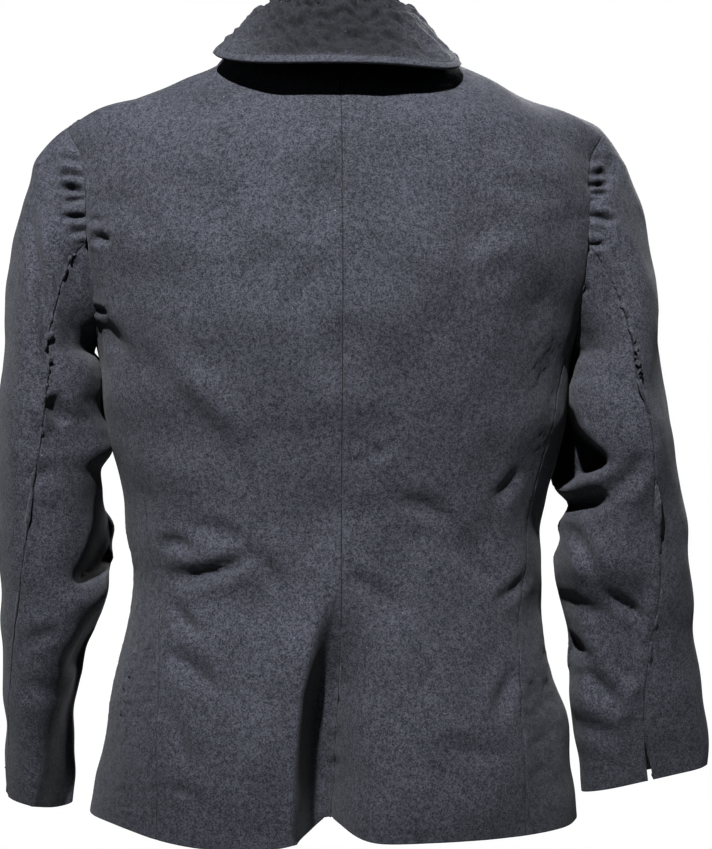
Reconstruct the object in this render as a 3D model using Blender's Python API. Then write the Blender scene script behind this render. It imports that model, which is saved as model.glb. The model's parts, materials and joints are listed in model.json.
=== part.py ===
"""A woman's tailored blazer, closed at the waist and filled out as if worn, hollow, with nobody in it.

Run with: blender --background --python part.py

Metres, +Z up. The origin is the middle of the neck opening, level with the inner ends of the shoulder
seams, where a wearer's shoulders carry the jacket. The front faces -Y, and +X is the wearer's left.

The body is one smooth shell of horizontal rings, and each cut piece is a patch of it: an angle round the
body (0 at the centre back, 90 degrees at the side, 180 at the centre front) and a height. Each sleeve is a
tube of rings from the armhole to the cuff, in two pieces. Every piece is a cloth wall of its own, a seam's
gap from its neighbours.
"""

import math

import bmesh
import bpy
import numpy as np
from mathutils import Vector

CLOTH = 0.0015
COLLAR_CLOTH = 0.0024
SEAM_GAP = 0.0004
LAYER_GAP = 0.0010
LAPEL_GAP = 0.0013

# The body's rings, from below the hem up past the neck. A depth is measured from the shoulder seam's plane.
BODY_COLUMNS = ("height", "half_width", "back_depth", "front_depth")
BODY_RINGS = (
    (-0.640, 0.1960, 0.1340, 0.1440),  # below the hem
    (-0.590, 0.1890, 0.1290, 0.1370),  # hem
    (-0.490, 0.1725, 0.1150, 0.1240),  # hip
    (-0.430, 0.1590, 0.1010, 0.1140),  # high hip
    (-0.386, 0.1545, 0.0940, 0.1100),  # waist
    (-0.350, 0.1620, 0.0960, 0.1160),  # above the waist
    (-0.310, 0.1710, 0.1020, 0.1320),  # ribs
    (-0.255, 0.1790, 0.1120, 0.1470),  # bust
    (-0.225, 0.1815, 0.1160, 0.1430),  # armhole base
    (-0.194, 0.1905, 0.1180, 0.1340),  # underarm
    (-0.165, 0.1995, 0.1170, 0.1220),  # shoulder blade
    (-0.120, 0.2060, 0.1090, 0.1010),  # upper chest
    (-0.085, 0.2045, 0.0960, 0.0840),  # below the shoulder tip
    (-0.056, 0.2015, 0.0810, 0.0710),  # shoulder tip
    (-0.031, 0.1380, 0.0650, 0.0590),  # mid shoulder
    (0.000, 0.0740, 0.0460, 0.0460),  # neck side
    (0.012, 0.0480, 0.0380, 0.0400),  # above the neck side
)
RING_SQUARENESS = 2.2
BUST_FULLNESS = 0.007
BUST_POINT = (0.085, -0.245)
BUST_SPREAD = 0.050

NECK_BACK_DROP = 0.010
SHOULDER_TRIM = SEAM_GAP / 2 / 0.05
SHOULDER_TIP_HEIGHT = -0.056
ARMHOLE_BASE_HEIGHT = -0.225
ARMHOLE_BACK_DEPTH = 0.052
ARMHOLE_FRONT_DEPTH = 0.058
PANEL_JOIN_HEIGHT = -0.205
ARMHOLE_GAP = 0.0014

HEM_HEIGHT = -0.585
HEM_LEFT_LOBE_DROP = 0.005
HEM_LEFT_LOBE = (0.085, 0.050)
HEM_FOLD_RISE = 0.017
HEM_FOLD_SPREAD = 0.016

# The soft fold that falls from the back waist, just to the wearer's left of the centre back seam.
BACK_FOLD_TOP = -0.415
BACK_FOLD_DEPTH = 0.034
BACK_FOLD_OFFSET = 0.010
BACK_FOLD_STEEP_SIDE = 0.011
BACK_FOLD_GENTLE_SIDE = 0.024
BACK_FOLD_SEAM_DRIFT = 0.008

# Where the side back seam runs: its distance from the centre back at each height.
SIDE_BACK_SEAM = (
    (-0.640, 0.1375),
    (-0.590, 0.1360),
    (-0.535, 0.1340),
    (-0.480, 0.1330),
    (-0.430, 0.1335),
    (-0.386, 0.1390),
    (-0.343, 0.1464),
    (-0.305, 0.1540),
    (-0.260, 0.1640),
)
# Where the side front seam runs: its distance from the centre front.
SIDE_FRONT_SEAM = (
    (-0.640, 0.1720),
    (-0.590, 0.1680),
    (-0.490, 0.1500),
    (-0.386, 0.1390),
    (-0.310, 0.1580),
    (-0.260, 0.1680),
)

# The front: its closing edge passes the centre front, then curves away to the hem below the button.
FRONT_EDGE = (
    (-0.5900, -0.078),
    (-0.5830, -0.062),
    (-0.5700, -0.040),
    (-0.5400, -0.014),
    (-0.4900, 0.006),
    (-0.4300, 0.016),
    (-0.3850, 0.018),
    (-0.3350, 0.018),
)
BREAK_POINT = (0.018, -0.335)
GORGE_START = (-0.052, -0.050)
NOTCH = (-0.086, -0.082)
LAPEL_TIP = (-0.120, -0.112)
LAPEL_BELLY = 0.012
LAPEL_FOOT = 0.006
GORGE_GAP = 0.0016
COLLAR_TIP = (-0.122, -0.072)
OVERLAP_RAMP = (-0.054, -0.022)

BUTTON_HEIGHT = -0.372
BUTTON_RADIUS = 0.011
BUTTON_THICKNESS = 0.0036
BUTTON_RIM = 0.0009
BUTTON_FACETS = 28

# The collar, from the centre back (along 0) to the gorge (along 1). Stand is the fold's height over the neck
# seam and lean its tilt towards the neck. The fall's edge is an angle round the body, a height, and how far it
# stands off the body there. Belly is how far the fall bows outwards.
COLLAR_COLUMNS = ("along", "stand", "lean", "edge_angle", "edge_height", "edge_lift", "belly")
COLLAR_STATIONS = (
    (0.00, 0.0430, 0.007, 0, -0.0340, 0.0190, 0.008),  # centre back
    (0.20, 0.0420, 0.013, 23, -0.0330, 0.0180, 0.006),  # back
    (0.36, 0.0360, 0.022, 42, -0.0220, 0.0130, 0.001),  # back corner
    (0.50, 0.0260, 0.022, 64, -0.0070, 0.0060, -0.003),  # behind the shoulder seam
    (0.64, 0.0170, 0.016, 98, -0.0010, 0.0050, -0.001),  # shoulder seam
    (0.82, 0.0110, 0.007, 124, -0.0230, 0.0050, 0.001),  # front of the shoulder
    (1.00, 0.0060, 0.000, 132, -0.0720, 0.0045, 0.001),  # gorge
)
COLLAR_FOLD_RADIUS = 0.0034
COLLAR_FOOT_RISE = 0.0006
COLLAR_FOOT_INWARD = 0.0010
COLLAR_ROWS = 36
STAND_COLUMNS = 2
FOLD_COLUMNS_ROUND = 4
FALL_COLUMNS = 4

# The sleeves' rings. Outer is the arm's outside and inner its body side, seen from behind; the half depth
# runs from front to back, and the seam angle is where the back seam lies (0 outside, 90 at the back).
SLEEVE_COLUMNS = ("outer_x", "outer_z", "inner_x", "inner_z", "half_depth", "centre_y", "seam_angle")
LEFT_SLEEVE_RINGS = (
    (0.2015, -0.0560, 0.1815, -0.2250, 0.0550, 0.000, 97),  # armhole
    (0.2130, -0.0655, 0.1835, -0.2275, 0.0555, 0.000, 97),
    (0.2270, -0.0855, 0.1850, -0.2310, 0.0565, 0.000, 98),
    (0.2370, -0.1160, 0.1860, -0.2350, 0.0580, 0.000, 99),
    (0.2450, -0.1510, 0.1865, -0.2400, 0.0600, 0.000, 99),
    (0.2500, -0.1860, 0.1860, -0.2480, 0.0630, 0.000, 98),
    (0.2540, -0.2280, 0.1845, -0.2600, 0.0650, 0.000, 97),  # upper arm
    (0.2575, -0.2750, 0.1810, -0.2850, 0.0660, 0.001, 93),
    (0.2575, -0.3200, 0.1765, -0.3150, 0.0650, 0.002, 82),
    (0.2575, -0.3600, 0.1720, -0.3550, 0.0620, 0.002, 70),
    (0.2575, -0.3900, 0.1680, -0.3885, 0.0590, 0.001, 62),  # elbow
    (0.2565, -0.4250, 0.1755, -0.4230, 0.0570, -0.003, 54),
    (0.2552, -0.4600, 0.1880, -0.4620, 0.0560, -0.009, 46),
    (0.2542, -0.5000, 0.1985, -0.5000, 0.0540, -0.016, 38),
    (0.2540, -0.5350, 0.2012, -0.5350, 0.0520, -0.022, 29),
    (0.2550, -0.5700, 0.2040, -0.5800, 0.0510, -0.028, 26),  # cuff
)
RIGHT_SLEEVE_RINGS = (
    (0.2015, -0.0560, 0.1815, -0.2250, 0.0550, 0.000, 97),  # armhole
    (0.2110, -0.0670, 0.1835, -0.2275, 0.0555, 0.000, 97),
    (0.2230, -0.0900, 0.1850, -0.2310, 0.0565, 0.000, 97),
    (0.2350, -0.1190, 0.1860, -0.2350, 0.0580, 0.000, 96),
    (0.2430, -0.1520, 0.1865, -0.2400, 0.0600, 0.000, 94),
    (0.2465, -0.1870, 0.1860, -0.2480, 0.0630, 0.000, 89),
    (0.2485, -0.2280, 0.1845, -0.2600, 0.0650, 0.000, 80),  # upper arm
    (0.2560, -0.2750, 0.1810, -0.2850, 0.0640, 0.001, 70),
    (0.2625, -0.3200, 0.1765, -0.3150, 0.0580, 0.002, 67),
    (0.2680, -0.3550, 0.1700, -0.3520, 0.0500, 0.003, 65),
    (0.2735, -0.3900, 0.1705, -0.3900, 0.0440, 0.002, 66),  # elbow
    (0.2780, -0.4250, 0.1745, -0.4280, 0.0400, -0.001, 71),
    (0.2820, -0.4600, 0.1780, -0.4660, 0.0360, -0.005, 82),
    (0.2870, -0.4950, 0.1815, -0.5030, 0.0320, -0.010, 90),
    (0.2910, -0.5250, 0.1865, -0.5380, 0.0290, -0.014, 91),
    (0.2950, -0.5500, 0.1915, -0.5720, 0.0270, -0.018, 89),  # cuff
)
SLEEVE_ROWS = 19
SLEEVE_FRONT_SEAM = -100
HEAD_BLEND = 0.22
VENT_START = 0.90
VENT_OPENING = 0.004
# Each sleeve's largest folds: where it lies along the sleeve (0 armhole, 1 cuff) and round it, how far it
# spreads each way, and how far it stands out or, below zero, sinks in.
LEFT_SLEEVE_FOLDS = (
    # along, angle, spread along, spread of angle, height
    (0.585, 150, 0.040, 38, -0.010),
    (0.660, 130, 0.035, 45, 0.007),
    (0.755, 165, 0.050, 35, -0.007),
    (0.330, 55, 0.130, 14, 0.004),
)
RIGHT_SLEEVE_FOLDS = (
    # along, angle, spread along, spread of angle, height
    (0.500, 150, 0.055, 40, -0.012),
    (0.600, 140, 0.035, 48, 0.008),
    (0.690, 120, 0.040, 40, -0.005),
    (0.800, 140, 0.040, 45, 0.004),
)
# The gathers that ease the sleeve's head into the armhole, behind and in front of the shoulder tip.
GATHER_ANGLES = (40, 94)
GATHERS_BEHIND = 5
GATHERS_IN_FRONT = 4
GATHER_HEIGHT = 0.0018
GATHER_HEIGHT_AT_SEAM = 0.4
GATHER_RISE = 0.02
GATHER_LENGTH = 0.09
HEAD_TOP_COLUMNS = 8
UNDER_SLEEVE_COLUMNS = 8

BACK_ROWS_BELOW = 14
BACK_ROWS_ABOVE = 12
BACK_COLUMNS = 11
SIDE_COLUMNS = 5
FRONT_ROWS_BELOW = 14
FRONT_ROWS_ABOVE = 12
ROWS_CROWD_TO_SHOULDER = 1.4
ROWS_CROWD_TO_HEM = 1.3
FRONT_COLUMNS = 9
LAPEL_ROWS = 16
LAPEL_COLUMNS = 4

SUITING = (0.045, 0.048, 0.060, 1.0)
HORN = (0.020, 0.020, 0.024, 1.0)
LEFT = 1
RIGHT = -1


def smooth_through(stops, values, at):
    """The value at one place on the smooth curve through a table's rows."""
    i = int(np.clip(np.searchsorted(stops, at) - 1, 0, len(stops) - 2))

    def slope(k):
        if k == 0:
            return (values[1] - values[0]) / (stops[1] - stops[0])
        if k == len(stops) - 1:
            return (values[k] - values[k - 1]) / (stops[k] - stops[k - 1])
        before, after = stops[k] - stops[k - 1], stops[k + 1] - stops[k]
        fall, rise = (values[k] - values[k - 1]) / before, (values[k + 1] - values[k]) / after
        return (fall * after + rise * before) / (before + after)

    width = stops[i + 1] - stops[i]
    t = (at - stops[i]) / width
    if t < 0 or t > 1:
        end = i if t < 0 else i + 1
        return values[end] + slope(end) * (at - stops[end])
    start_share = (1 + 2 * t) * (1 - t) ** 2
    end_share = t * t * (3 - 2 * t)
    bend = width * t * (1 - t) * ((1 - t) * slope(i) - t * slope(i + 1))
    return start_share * values[i] + end_share * values[i + 1] + bend


BODY_TABLE = np.array(BODY_RINGS)
SIDE_BACK_TABLE = np.array(SIDE_BACK_SEAM)
SIDE_FRONT_TABLE = np.array(SIDE_FRONT_SEAM)
FRONT_EDGE_TABLE = np.array(FRONT_EDGE)


def body_size(column, height):
    index = BODY_COLUMNS.index(column)
    return smooth_through(BODY_TABLE[:, 0], BODY_TABLE[:, index], height)


def ease(share):
    """0 before 0, 1 after 1, and a smooth step between them."""
    share = min(max(share, 0.0), 1.0)
    return share * share * (3 - 2 * share)


def signed_power(value, power):
    return math.copysign(abs(value) ** power, value)


def back_fold(x, height):
    """How far the soft fold sinks in below the back waist, and how far it draws the cloth sideways."""
    grown = ease((BACK_FOLD_TOP - height) / (BACK_FOLD_TOP - HEM_HEIGHT))
    middle = BACK_FOLD_OFFSET * grown
    spread = BACK_FOLD_STEEP_SIDE if x > middle else BACK_FOLD_GENTLE_SIDE
    depth = BACK_FOLD_DEPTH * grown * math.exp(-(((x - middle) / spread) ** 2))
    drift = BACK_FOLD_SEAM_DRIFT * grown * math.exp(-((x / 0.045) ** 2))
    return depth, drift


def body_point(side, angle, height):
    """A point on the body's outer surface. The angle may pass 180 degrees, across the centre front."""
    power = 2 / RING_SQUARENESS
    x = side * body_size("half_width", height) * signed_power(math.sin(angle), power)
    behind = math.cos(angle) > 0
    depth = body_size("back_depth" if behind else "front_depth", height)
    y = depth * signed_power(math.cos(angle), power)
    if behind:
        sunk, drift = back_fold(x, height)
        return Vector((x + drift, y - sunk, height))
    reach = ((abs(x) - BUST_POINT[0]) ** 2 + (height - BUST_POINT[1]) ** 2) / BUST_SPREAD**2
    return Vector((x, y - BUST_FULLNESS * math.exp(-reach), height))


def body_normal(side, angle, height):
    step = 0.002
    round_body = body_point(side, angle + step, height) - body_point(side, angle - step, height)
    up_body = body_point(side, angle, height + step) - body_point(side, angle, height - step)
    return up_body.cross(round_body).normalized() * side


def body_surface(side, angle, height, lift=0.0):
    return body_point(side, angle, height) + body_normal(side, angle, height) * lift


def back_angle(x, height):
    """The angle round the body of a point behind the side, from its distance to the centre back."""
    share = min(x / body_size("half_width", height), 1.0)
    return math.asin(share ** (RING_SQUARENESS / 2))


def front_angle(x, height):
    """The same in front of the side. x is below zero on the piece's far side of the centre front."""
    share = max(min(x / body_size("half_width", height), 1.0), -1.0)
    return math.pi - math.asin(signed_power(share, RING_SQUARENESS / 2))


def hem_height(x):
    lobe_middle, lobe_spread = HEM_LEFT_LOBE
    lobe = HEM_LEFT_LOBE_DROP * math.exp(-(((x - lobe_middle) / lobe_spread) ** 2))
    rise = HEM_FOLD_RISE * math.exp(-(((x - BACK_FOLD_OFFSET) / HEM_FOLD_SPREAD) ** 2))
    return HEM_HEIGHT - lobe + rise


def armhole_place(turn):
    """The body angle and height of the armhole's edge. A turn of 0 is its top, 90 degrees its back."""
    depth = ARMHOLE_BACK_DEPTH if math.sin(turn) > 0 else ARMHOLE_FRONT_DEPTH
    y = depth * math.sin(turn)
    middle = (SHOULDER_TIP_HEIGHT + ARMHOLE_BASE_HEIGHT) / 2
    height = middle + (SHOULDER_TIP_HEIGHT - middle) * math.cos(turn)
    body_depth = body_size("back_depth" if y > 0 else "front_depth", height)
    angle = math.acos(min((abs(y) / body_depth) ** (RING_SQUARENESS / 2), 1.0))
    return (angle if y >= 0 else math.pi - angle), height


def armhole_turn(height, behind):
    """The turn at which the armhole's edge passes a height."""
    middle = (SHOULDER_TIP_HEIGHT + ARMHOLE_BASE_HEIGHT) / 2
    turn = math.acos((height - middle) / (SHOULDER_TIP_HEIGHT - middle))
    return turn if behind else 2 * math.pi - turn


BACK_JOIN_TURN = armhole_turn(PANEL_JOIN_HEIGHT, behind=True)
FRONT_JOIN_TURN = armhole_turn(PANEL_JOIN_HEIGHT, behind=False)


def side_back_angle(height):
    """The side back seam, which bends into the armhole's edge at its top."""
    top_angle = armhole_place(BACK_JOIN_TURN)[0]
    low = SIDE_BACK_TABLE[-1, 0]
    x = smooth_through(SIDE_BACK_TABLE[:, 0], SIDE_BACK_TABLE[:, 1], height)
    share = ease((height - low) / (PANEL_JOIN_HEIGHT - low))
    return back_angle(x, height) * (1 - share) + top_angle * share


def side_front_angle(height):
    top_angle = armhole_place(FRONT_JOIN_TURN)[0]
    low = SIDE_FRONT_TABLE[-1, 0]
    x = smooth_through(SIDE_FRONT_TABLE[:, 0], SIDE_FRONT_TABLE[:, 1], height)
    share = ease((height - low) / (PANEL_JOIN_HEIGHT - low))
    return front_angle(x, height) * (1 - share) + top_angle * share


def wall(name, outer, inner, colour):
    """A cloth wall as one named object: a grid of outer points, the inner points behind them, and the rim."""
    mesh = bmesh.new()
    front = [[mesh.verts.new(p) for p in row] for row in outer]
    behind = [[mesh.verts.new(p) for p in row] for row in inner]
    rows, columns = len(front), len(front[0])
    for r in range(rows - 1):
        for c in range(columns - 1):
            mesh.faces.new((front[r][c], front[r][c + 1], front[r + 1][c + 1], front[r + 1][c]))
            mesh.faces.new((behind[r][c], behind[r + 1][c], behind[r + 1][c + 1], behind[r][c + 1]))
    for r in range(rows - 1):
        for c in (0, columns - 1):
            mesh.faces.new((front[r][c], front[r + 1][c], behind[r + 1][c], behind[r][c]))
    for c in range(columns - 1):
        for r in (0, rows - 1):
            mesh.faces.new((front[r][c], front[r][c + 1], behind[r][c + 1], behind[r][c]))
    bmesh.ops.recalc_face_normals(mesh, faces=mesh.faces)
    return object_from(name, mesh, colour)


def object_from(name, mesh, colour):
    data = bpy.data.meshes.new(name)
    mesh.to_mesh(data)
    mesh.free()
    made = bpy.data.objects.new(name, data)
    bpy.context.scene.collection.objects.link(made)
    data.materials.append(colour)
    data.shade_smooth()
    data.set_sharp_from_angle(angle=math.radians(50))
    return made


def finish(name, colour, roughness):
    material = bpy.data.materials.new(name)
    material.use_nodes = True
    shader = material.node_tree.nodes["Principled BSDF"]
    shader.inputs["Base Color"].default_value = colour
    shader.inputs["Roughness"].default_value = roughness
    shader.inputs["Metallic"].default_value = 0.0
    return material


def even_shares(count, power=1.0):
    """Shares from 0 to 1, closer together near 0 where the power is above 1."""
    return [(i / count) ** power for i in range(count + 1)]


def along(points, share):
    """A place at a share of the length of a path of (angle, height) pairs, measured by equal steps."""
    at = share * (len(points) - 1)
    i = min(int(at), len(points) - 2)
    t = at - i
    return tuple(a + (b - a) * t for a, b in zip(points[i], points[i + 1]))


def spaced(side, path, count):
    """count + 1 places along a path on the body, closer together towards its end."""
    fine = [along(path, i / 200) for i in range(201)]
    points = [body_point(side, *place) for place in fine]
    lengths = np.concatenate([[0], np.cumsum([(b - a).length for a, b in zip(points, points[1:])])])
    targets = lengths[-1] * (1 - np.linspace(1, 0, count + 1) ** ROWS_CROWD_TO_SHOULDER)
    angles = np.interp(targets, lengths, [p[0] for p in fine])
    heights = np.interp(targets, lengths, [p[1] for p in fine])
    return list(zip(angles, heights))


def with_corner(side, places, corner):
    """The same places, but the one nearest to a corner of the piece is moved onto it."""
    target = body_point(side, *corner)
    nearest = min(range(len(places)), key=lambda i: (body_point(side, *places[i]) - target).length)
    return places[:nearest] + [corner] + places[nearest + 1 :]


def inset(side, places, columns, far_gap=SEAM_GAP / 2, near_gap=SEAM_GAP / 2):
    """A row of places between two ends, each drawn in by half a seam's gap or by its own gap."""
    first, last = places[0], places[-1]
    width = (body_point(side, *last) - body_point(side, *first)).length
    near_trim, far_trim = (min(gap / max(width, 1e-4), 0.2) for gap in (near_gap, far_gap))
    made = []
    for share in columns:
        inner_share = near_trim + share * (1 - near_trim - far_trim)
        made.append(tuple(a + (b - a) * inner_share for a, b in zip(first, last)))
    return made


def panel(name, side, rows, colour, lift=None):
    """A cut piece of the body shell, from rows of (angle, height) places."""
    outer, inner = [], []
    for row in rows:
        raised = [lift(body_point(side, *place)) if lift else 0.0 for place in row]
        outer.append([body_surface(side, *p, up) for p, up in zip(row, raised)])
        inner.append([body_surface(side, *p, up - CLOTH) for p, up in zip(row, raised)])
    return wall(name, outer, inner, colour)


def hem_row_height(side, angle, share):
    """The height at a share of the way from the hem up to where the panels join the armhole."""
    low = hem_height(body_point(side, angle, HEM_HEIGHT).x if angle < math.pi / 2 else side)
    return low + (PANEL_JOIN_HEIGHT - low) * share


def back_panel(name, side, colour):
    columns = even_shares(BACK_COLUMNS, 1.45)
    rows = []
    for share in even_shares(BACK_ROWS_BELOW, ROWS_CROWD_TO_HEM):
        level = hem_row_height(side, math.pi / 4, share)
        ends = [(back_angle(SEAM_GAP / 2, level), level), (side_back_angle(level), level)]
        row = inset(side, ends, columns, near_gap=0.0)
        rows.append([(angle, hem_row_height(side, angle, share)) for angle, _ in row])
    neck = [
        (math.radians(a), -NECK_BACK_DROP * math.cos(math.radians(a)) ** 2) for a in range(0, 91, 6)
    ]
    rising = [PANEL_JOIN_HEIGHT + (neck[0][1] - PANEL_JOIN_HEIGHT) * t for t in even_shares(30)]
    inner_path = [(back_angle(SEAM_GAP / 2, height), height) for height in rising]
    outer_path = [armhole_place(BACK_JOIN_TURN * (1 - t)) for t in even_shares(30)]
    inner_places = spaced(side, inner_path + neck[1:], BACK_ROWS_ABOVE)
    inner_places = with_corner(side, inner_places, inner_path[-1])
    outer_places = spaced(side, outer_path, BACK_ROWS_ABOVE)
    for near, far in list(zip(inner_places, outer_places))[1:]:
        rows.append(inset(side, [near, far], columns, ARMHOLE_GAP, near_gap=0.0))
    rows[-1] = [(angle - SHOULDER_TRIM, height) for angle, height in rows[-1]]
    return panel(name, side, rows, colour)


def side_panel(name, side, colour):
    """Between the two side seams, up to the base of the armhole."""
    rows = []
    columns = even_shares(SIDE_COLUMNS)
    for share in even_shares(BACK_ROWS_BELOW, ROWS_CROWD_TO_HEM):
        level = hem_row_height(side, math.pi / 2, share)
        ends = [(side_back_angle(level), level), (side_front_angle(level), level)]
        row = []
        for (angle, _), column in zip(inset(side, ends, columns), columns):
            turn = BACK_JOIN_TURN + (FRONT_JOIN_TURN - BACK_JOIN_TURN) * column
            top = armhole_place(turn)[1] - SEAM_GAP
            low = hem_row_height(side, angle, 0)
            row.append((angle, low + (top - low) * share))
        rows.append(row)
    return panel(name, side, rows, colour)


def overlap_lift(side):
    """The wearer's right front laps over the left one and its lapel, so it rises as it nears them."""
    full = 2 * (CLOTH + LAPEL_GAP) + LAYER_GAP

    def lift(point):
        start, end = OVERLAP_RAMP
        return full * ease((point.x - start) / (end - start)) if side == RIGHT else 0.0

    return lift


def roll_line(share):
    """The lapel's fold, from the break point up to the gorge, as the piece's own x and height."""
    x = BREAK_POINT[0] + (GORGE_START[0] - BREAK_POINT[0]) * share
    return -x, BREAK_POINT[1] + (GORGE_START[1] - BREAK_POINT[1]) * share


def front_inner_path():
    """Up the closing edge, the lapel's fold and the front of the neck, as x towards the piece's side."""
    fine = np.linspace(FRONT_EDGE[0][0], FRONT_EDGE[-1][0], 60)
    edge = [(-smooth_through(FRONT_EDGE_TABLE[:, 0], FRONT_EDGE_TABLE[:, 1], h), h) for h in fine]
    roll = [roll_line(t) for t in even_shares(40)]
    start, end = roll[-1], (body_size("half_width", 0.0), 0.0)
    neck = [(start[0] + (end[0] - start[0]) * t, start[1] + (end[1] - start[1]) * t) for t in even_shares(20)]
    return edge, roll, neck


def front_panel(name, side, colour):
    columns = even_shares(FRONT_COLUMNS)
    edge, roll, neck = front_inner_path()
    rising = edge + roll[1:]
    rising_heights = [height for _, height in rising]
    rising_x = [x for x, _ in rising]
    rows = []
    for share in even_shares(FRONT_ROWS_BELOW, ROWS_CROWD_TO_HEM):
        near_height = HEM_HEIGHT + (PANEL_JOIN_HEIGHT - HEM_HEIGHT) * share
        near = (front_angle(float(np.interp(near_height, rising_heights, rising_x)), near_height), near_height)
        far = (side_front_angle(near_height), near_height)
        rows.append(inset(side, [near, far], columns))
    upper = [(x, h) for x, h in roll if h > PANEL_JOIN_HEIGHT] + neck[1:]
    first = (float(np.interp(PANEL_JOIN_HEIGHT, rising_heights, rising_x)), PANEL_JOIN_HEIGHT)
    inner_path = [(front_angle(x, h), h) for x, h in [first] + upper]
    outer_path = [
        armhole_place(FRONT_JOIN_TURN + (2 * math.pi - FRONT_JOIN_TURN) * t) for t in even_shares(30)
    ]
    inner_places = spaced(side, inner_path, FRONT_ROWS_ABOVE)
    gorge = (front_angle(*roll[-1]), roll[-1][1])
    inner_places = with_corner(side, inner_places, gorge)
    outer_places = spaced(side, outer_path, FRONT_ROWS_ABOVE)
    for near, far in list(zip(inner_places, outer_places))[1:]:
        rows.append(inset(side, [near, far], columns, ARMHOLE_GAP))
    rows[-1] = [(angle + SHOULDER_TRIM, height) for angle, height in rows[-1]]
    return panel(name, side, rows, colour, overlap_lift(side))


def lapel(name, side, colour):
    """The turned back front edge, laid on the front from the fold out to the lapel's edge."""
    lift_here = overlap_lift(side)
    rows = []
    for share in even_shares(LAPEL_ROWS):
        near_x, near_z = roll_line(share)
        foot_x = -BREAK_POINT[0] + LAPEL_FOOT
        belly = LAPEL_BELLY * math.sin(math.pi * share)
        far_x = foot_x + (-LAPEL_TIP[0] - foot_x) * share + belly
        far_z = BREAK_POINT[1] + (LAPEL_TIP[1] - BREAK_POINT[1]) * share
        row = []
        for column in even_shares(LAPEL_COLUMNS):
            x, z = near_x + (far_x - near_x) * column, near_z + (far_z - near_z) * column
            row.append((front_angle(x, z), z))
        rows.append(row)
    outer, inner = [], []
    for row in rows:
        gaps = [LAYER_GAP] + [LAPEL_GAP] * (len(row) - 1)
        base = [lift_here(body_point(side, *place)) + gap for place, gap in zip(row, gaps)]
        inner.append([body_surface(side, *p, up) for p, up in zip(row, base)])
        outer.append([body_surface(side, *p, up + CLOTH) for p, up in zip(row, base)])
    return wall(name, outer, inner, colour)


def sleeve_table(rings):
    """The rings' places along the sleeve, as shares of its length, and their columns."""
    table = np.array(rings)
    middles = (table[:, 0:2] + table[:, 2:4]) / 2
    steps = np.linalg.norm(np.diff(middles, axis=0), axis=1)
    lengths = np.concatenate([[0], np.cumsum(steps)])
    return lengths / lengths[-1], table


def sleeve_point(side, stops, table, folds, along_sleeve, degrees, raised=0.0):
    """A point on the sleeve's outer surface, from its share along the sleeve and its angle round it."""
    ring = [smooth_through(stops, table[:, i], along_sleeve) for i in range(table.shape[1])]
    outer_x, outer_z, inner_x, inner_z, half_depth, centre_y, _ = ring
    turn = math.radians(degrees)
    reach = Vector(((outer_x - inner_x) / 2, 0.0, (outer_z - inner_z) / 2))
    spoke = reach * math.cos(turn) + Vector((0.0, half_depth * math.sin(turn), 0.0))
    middle = Vector(((outer_x + inner_x) / 2, centre_y, (outer_z + inner_z) / 2))
    for place, angle, spread_along, spread_angle, height in folds:
        off = (degrees - angle + 180) % 360 - 180
        raised += height * math.exp(-(((along_sleeve - place) / spread_along) ** 2) - (off / spread_angle) ** 2)
    point = middle + spoke + spoke.normalized() * raised
    point.x *= side
    share = 1 - ease(along_sleeve / HEAD_BLEND)
    if share > 0:
        first = table[0]
        start = Vector(((first[0] + first[2]) / 2, first[5], (first[1] + first[3]) / 2))
        start += Vector(((first[0] - first[2]) / 2, 0.0, (first[1] - first[3]) / 2)) * math.cos(turn)
        start.y += first[4] * math.sin(turn)
        start.x *= side
        point += (body_surface(side, *armhole_place(turn), LAYER_GAP) - start) * share
    return point


def sleeve_frame(side, stops, table, folds, along_sleeve, degrees):
    """The sleeve's normal at a place, and how far one degree round it reaches there."""
    step, turn = 0.004, 1.0
    place = (side, stops, table, folds)
    low, high = max(along_sleeve - step, 0.0), min(along_sleeve + step, 1.0)
    down = sleeve_point(*place, high, degrees) - sleeve_point(*place, low, degrees)
    across = sleeve_point(*place, along_sleeve, degrees + turn)
    across -= sleeve_point(*place, along_sleeve, degrees - turn)
    return across.cross(down).normalized() * -side, across.length / (2 * turn)


def sleeve_columns():
    """Angles across the upper sleeve, from its back seam to its front seam, and which of them are gathered."""
    start, end = GATHER_ANGLES
    behind = [end - (end - start) * i / (2 * GATHERS_BEHIND) for i in range(2 * GATHERS_BEHIND + 1)]
    top = [start - 2 * start * i / HEAD_TOP_COLUMNS for i in range(1, HEAD_TOP_COLUMNS)]
    front = [-start - (end - start) * i / (2 * GATHERS_IN_FRONT) for i in range(2 * GATHERS_IN_FRONT + 1)]
    raised = [i % 2 for i in range(len(behind))] + [0] * len(top) + [i % 2 for i in range(len(front))]
    return behind + top + front, raised


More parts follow.
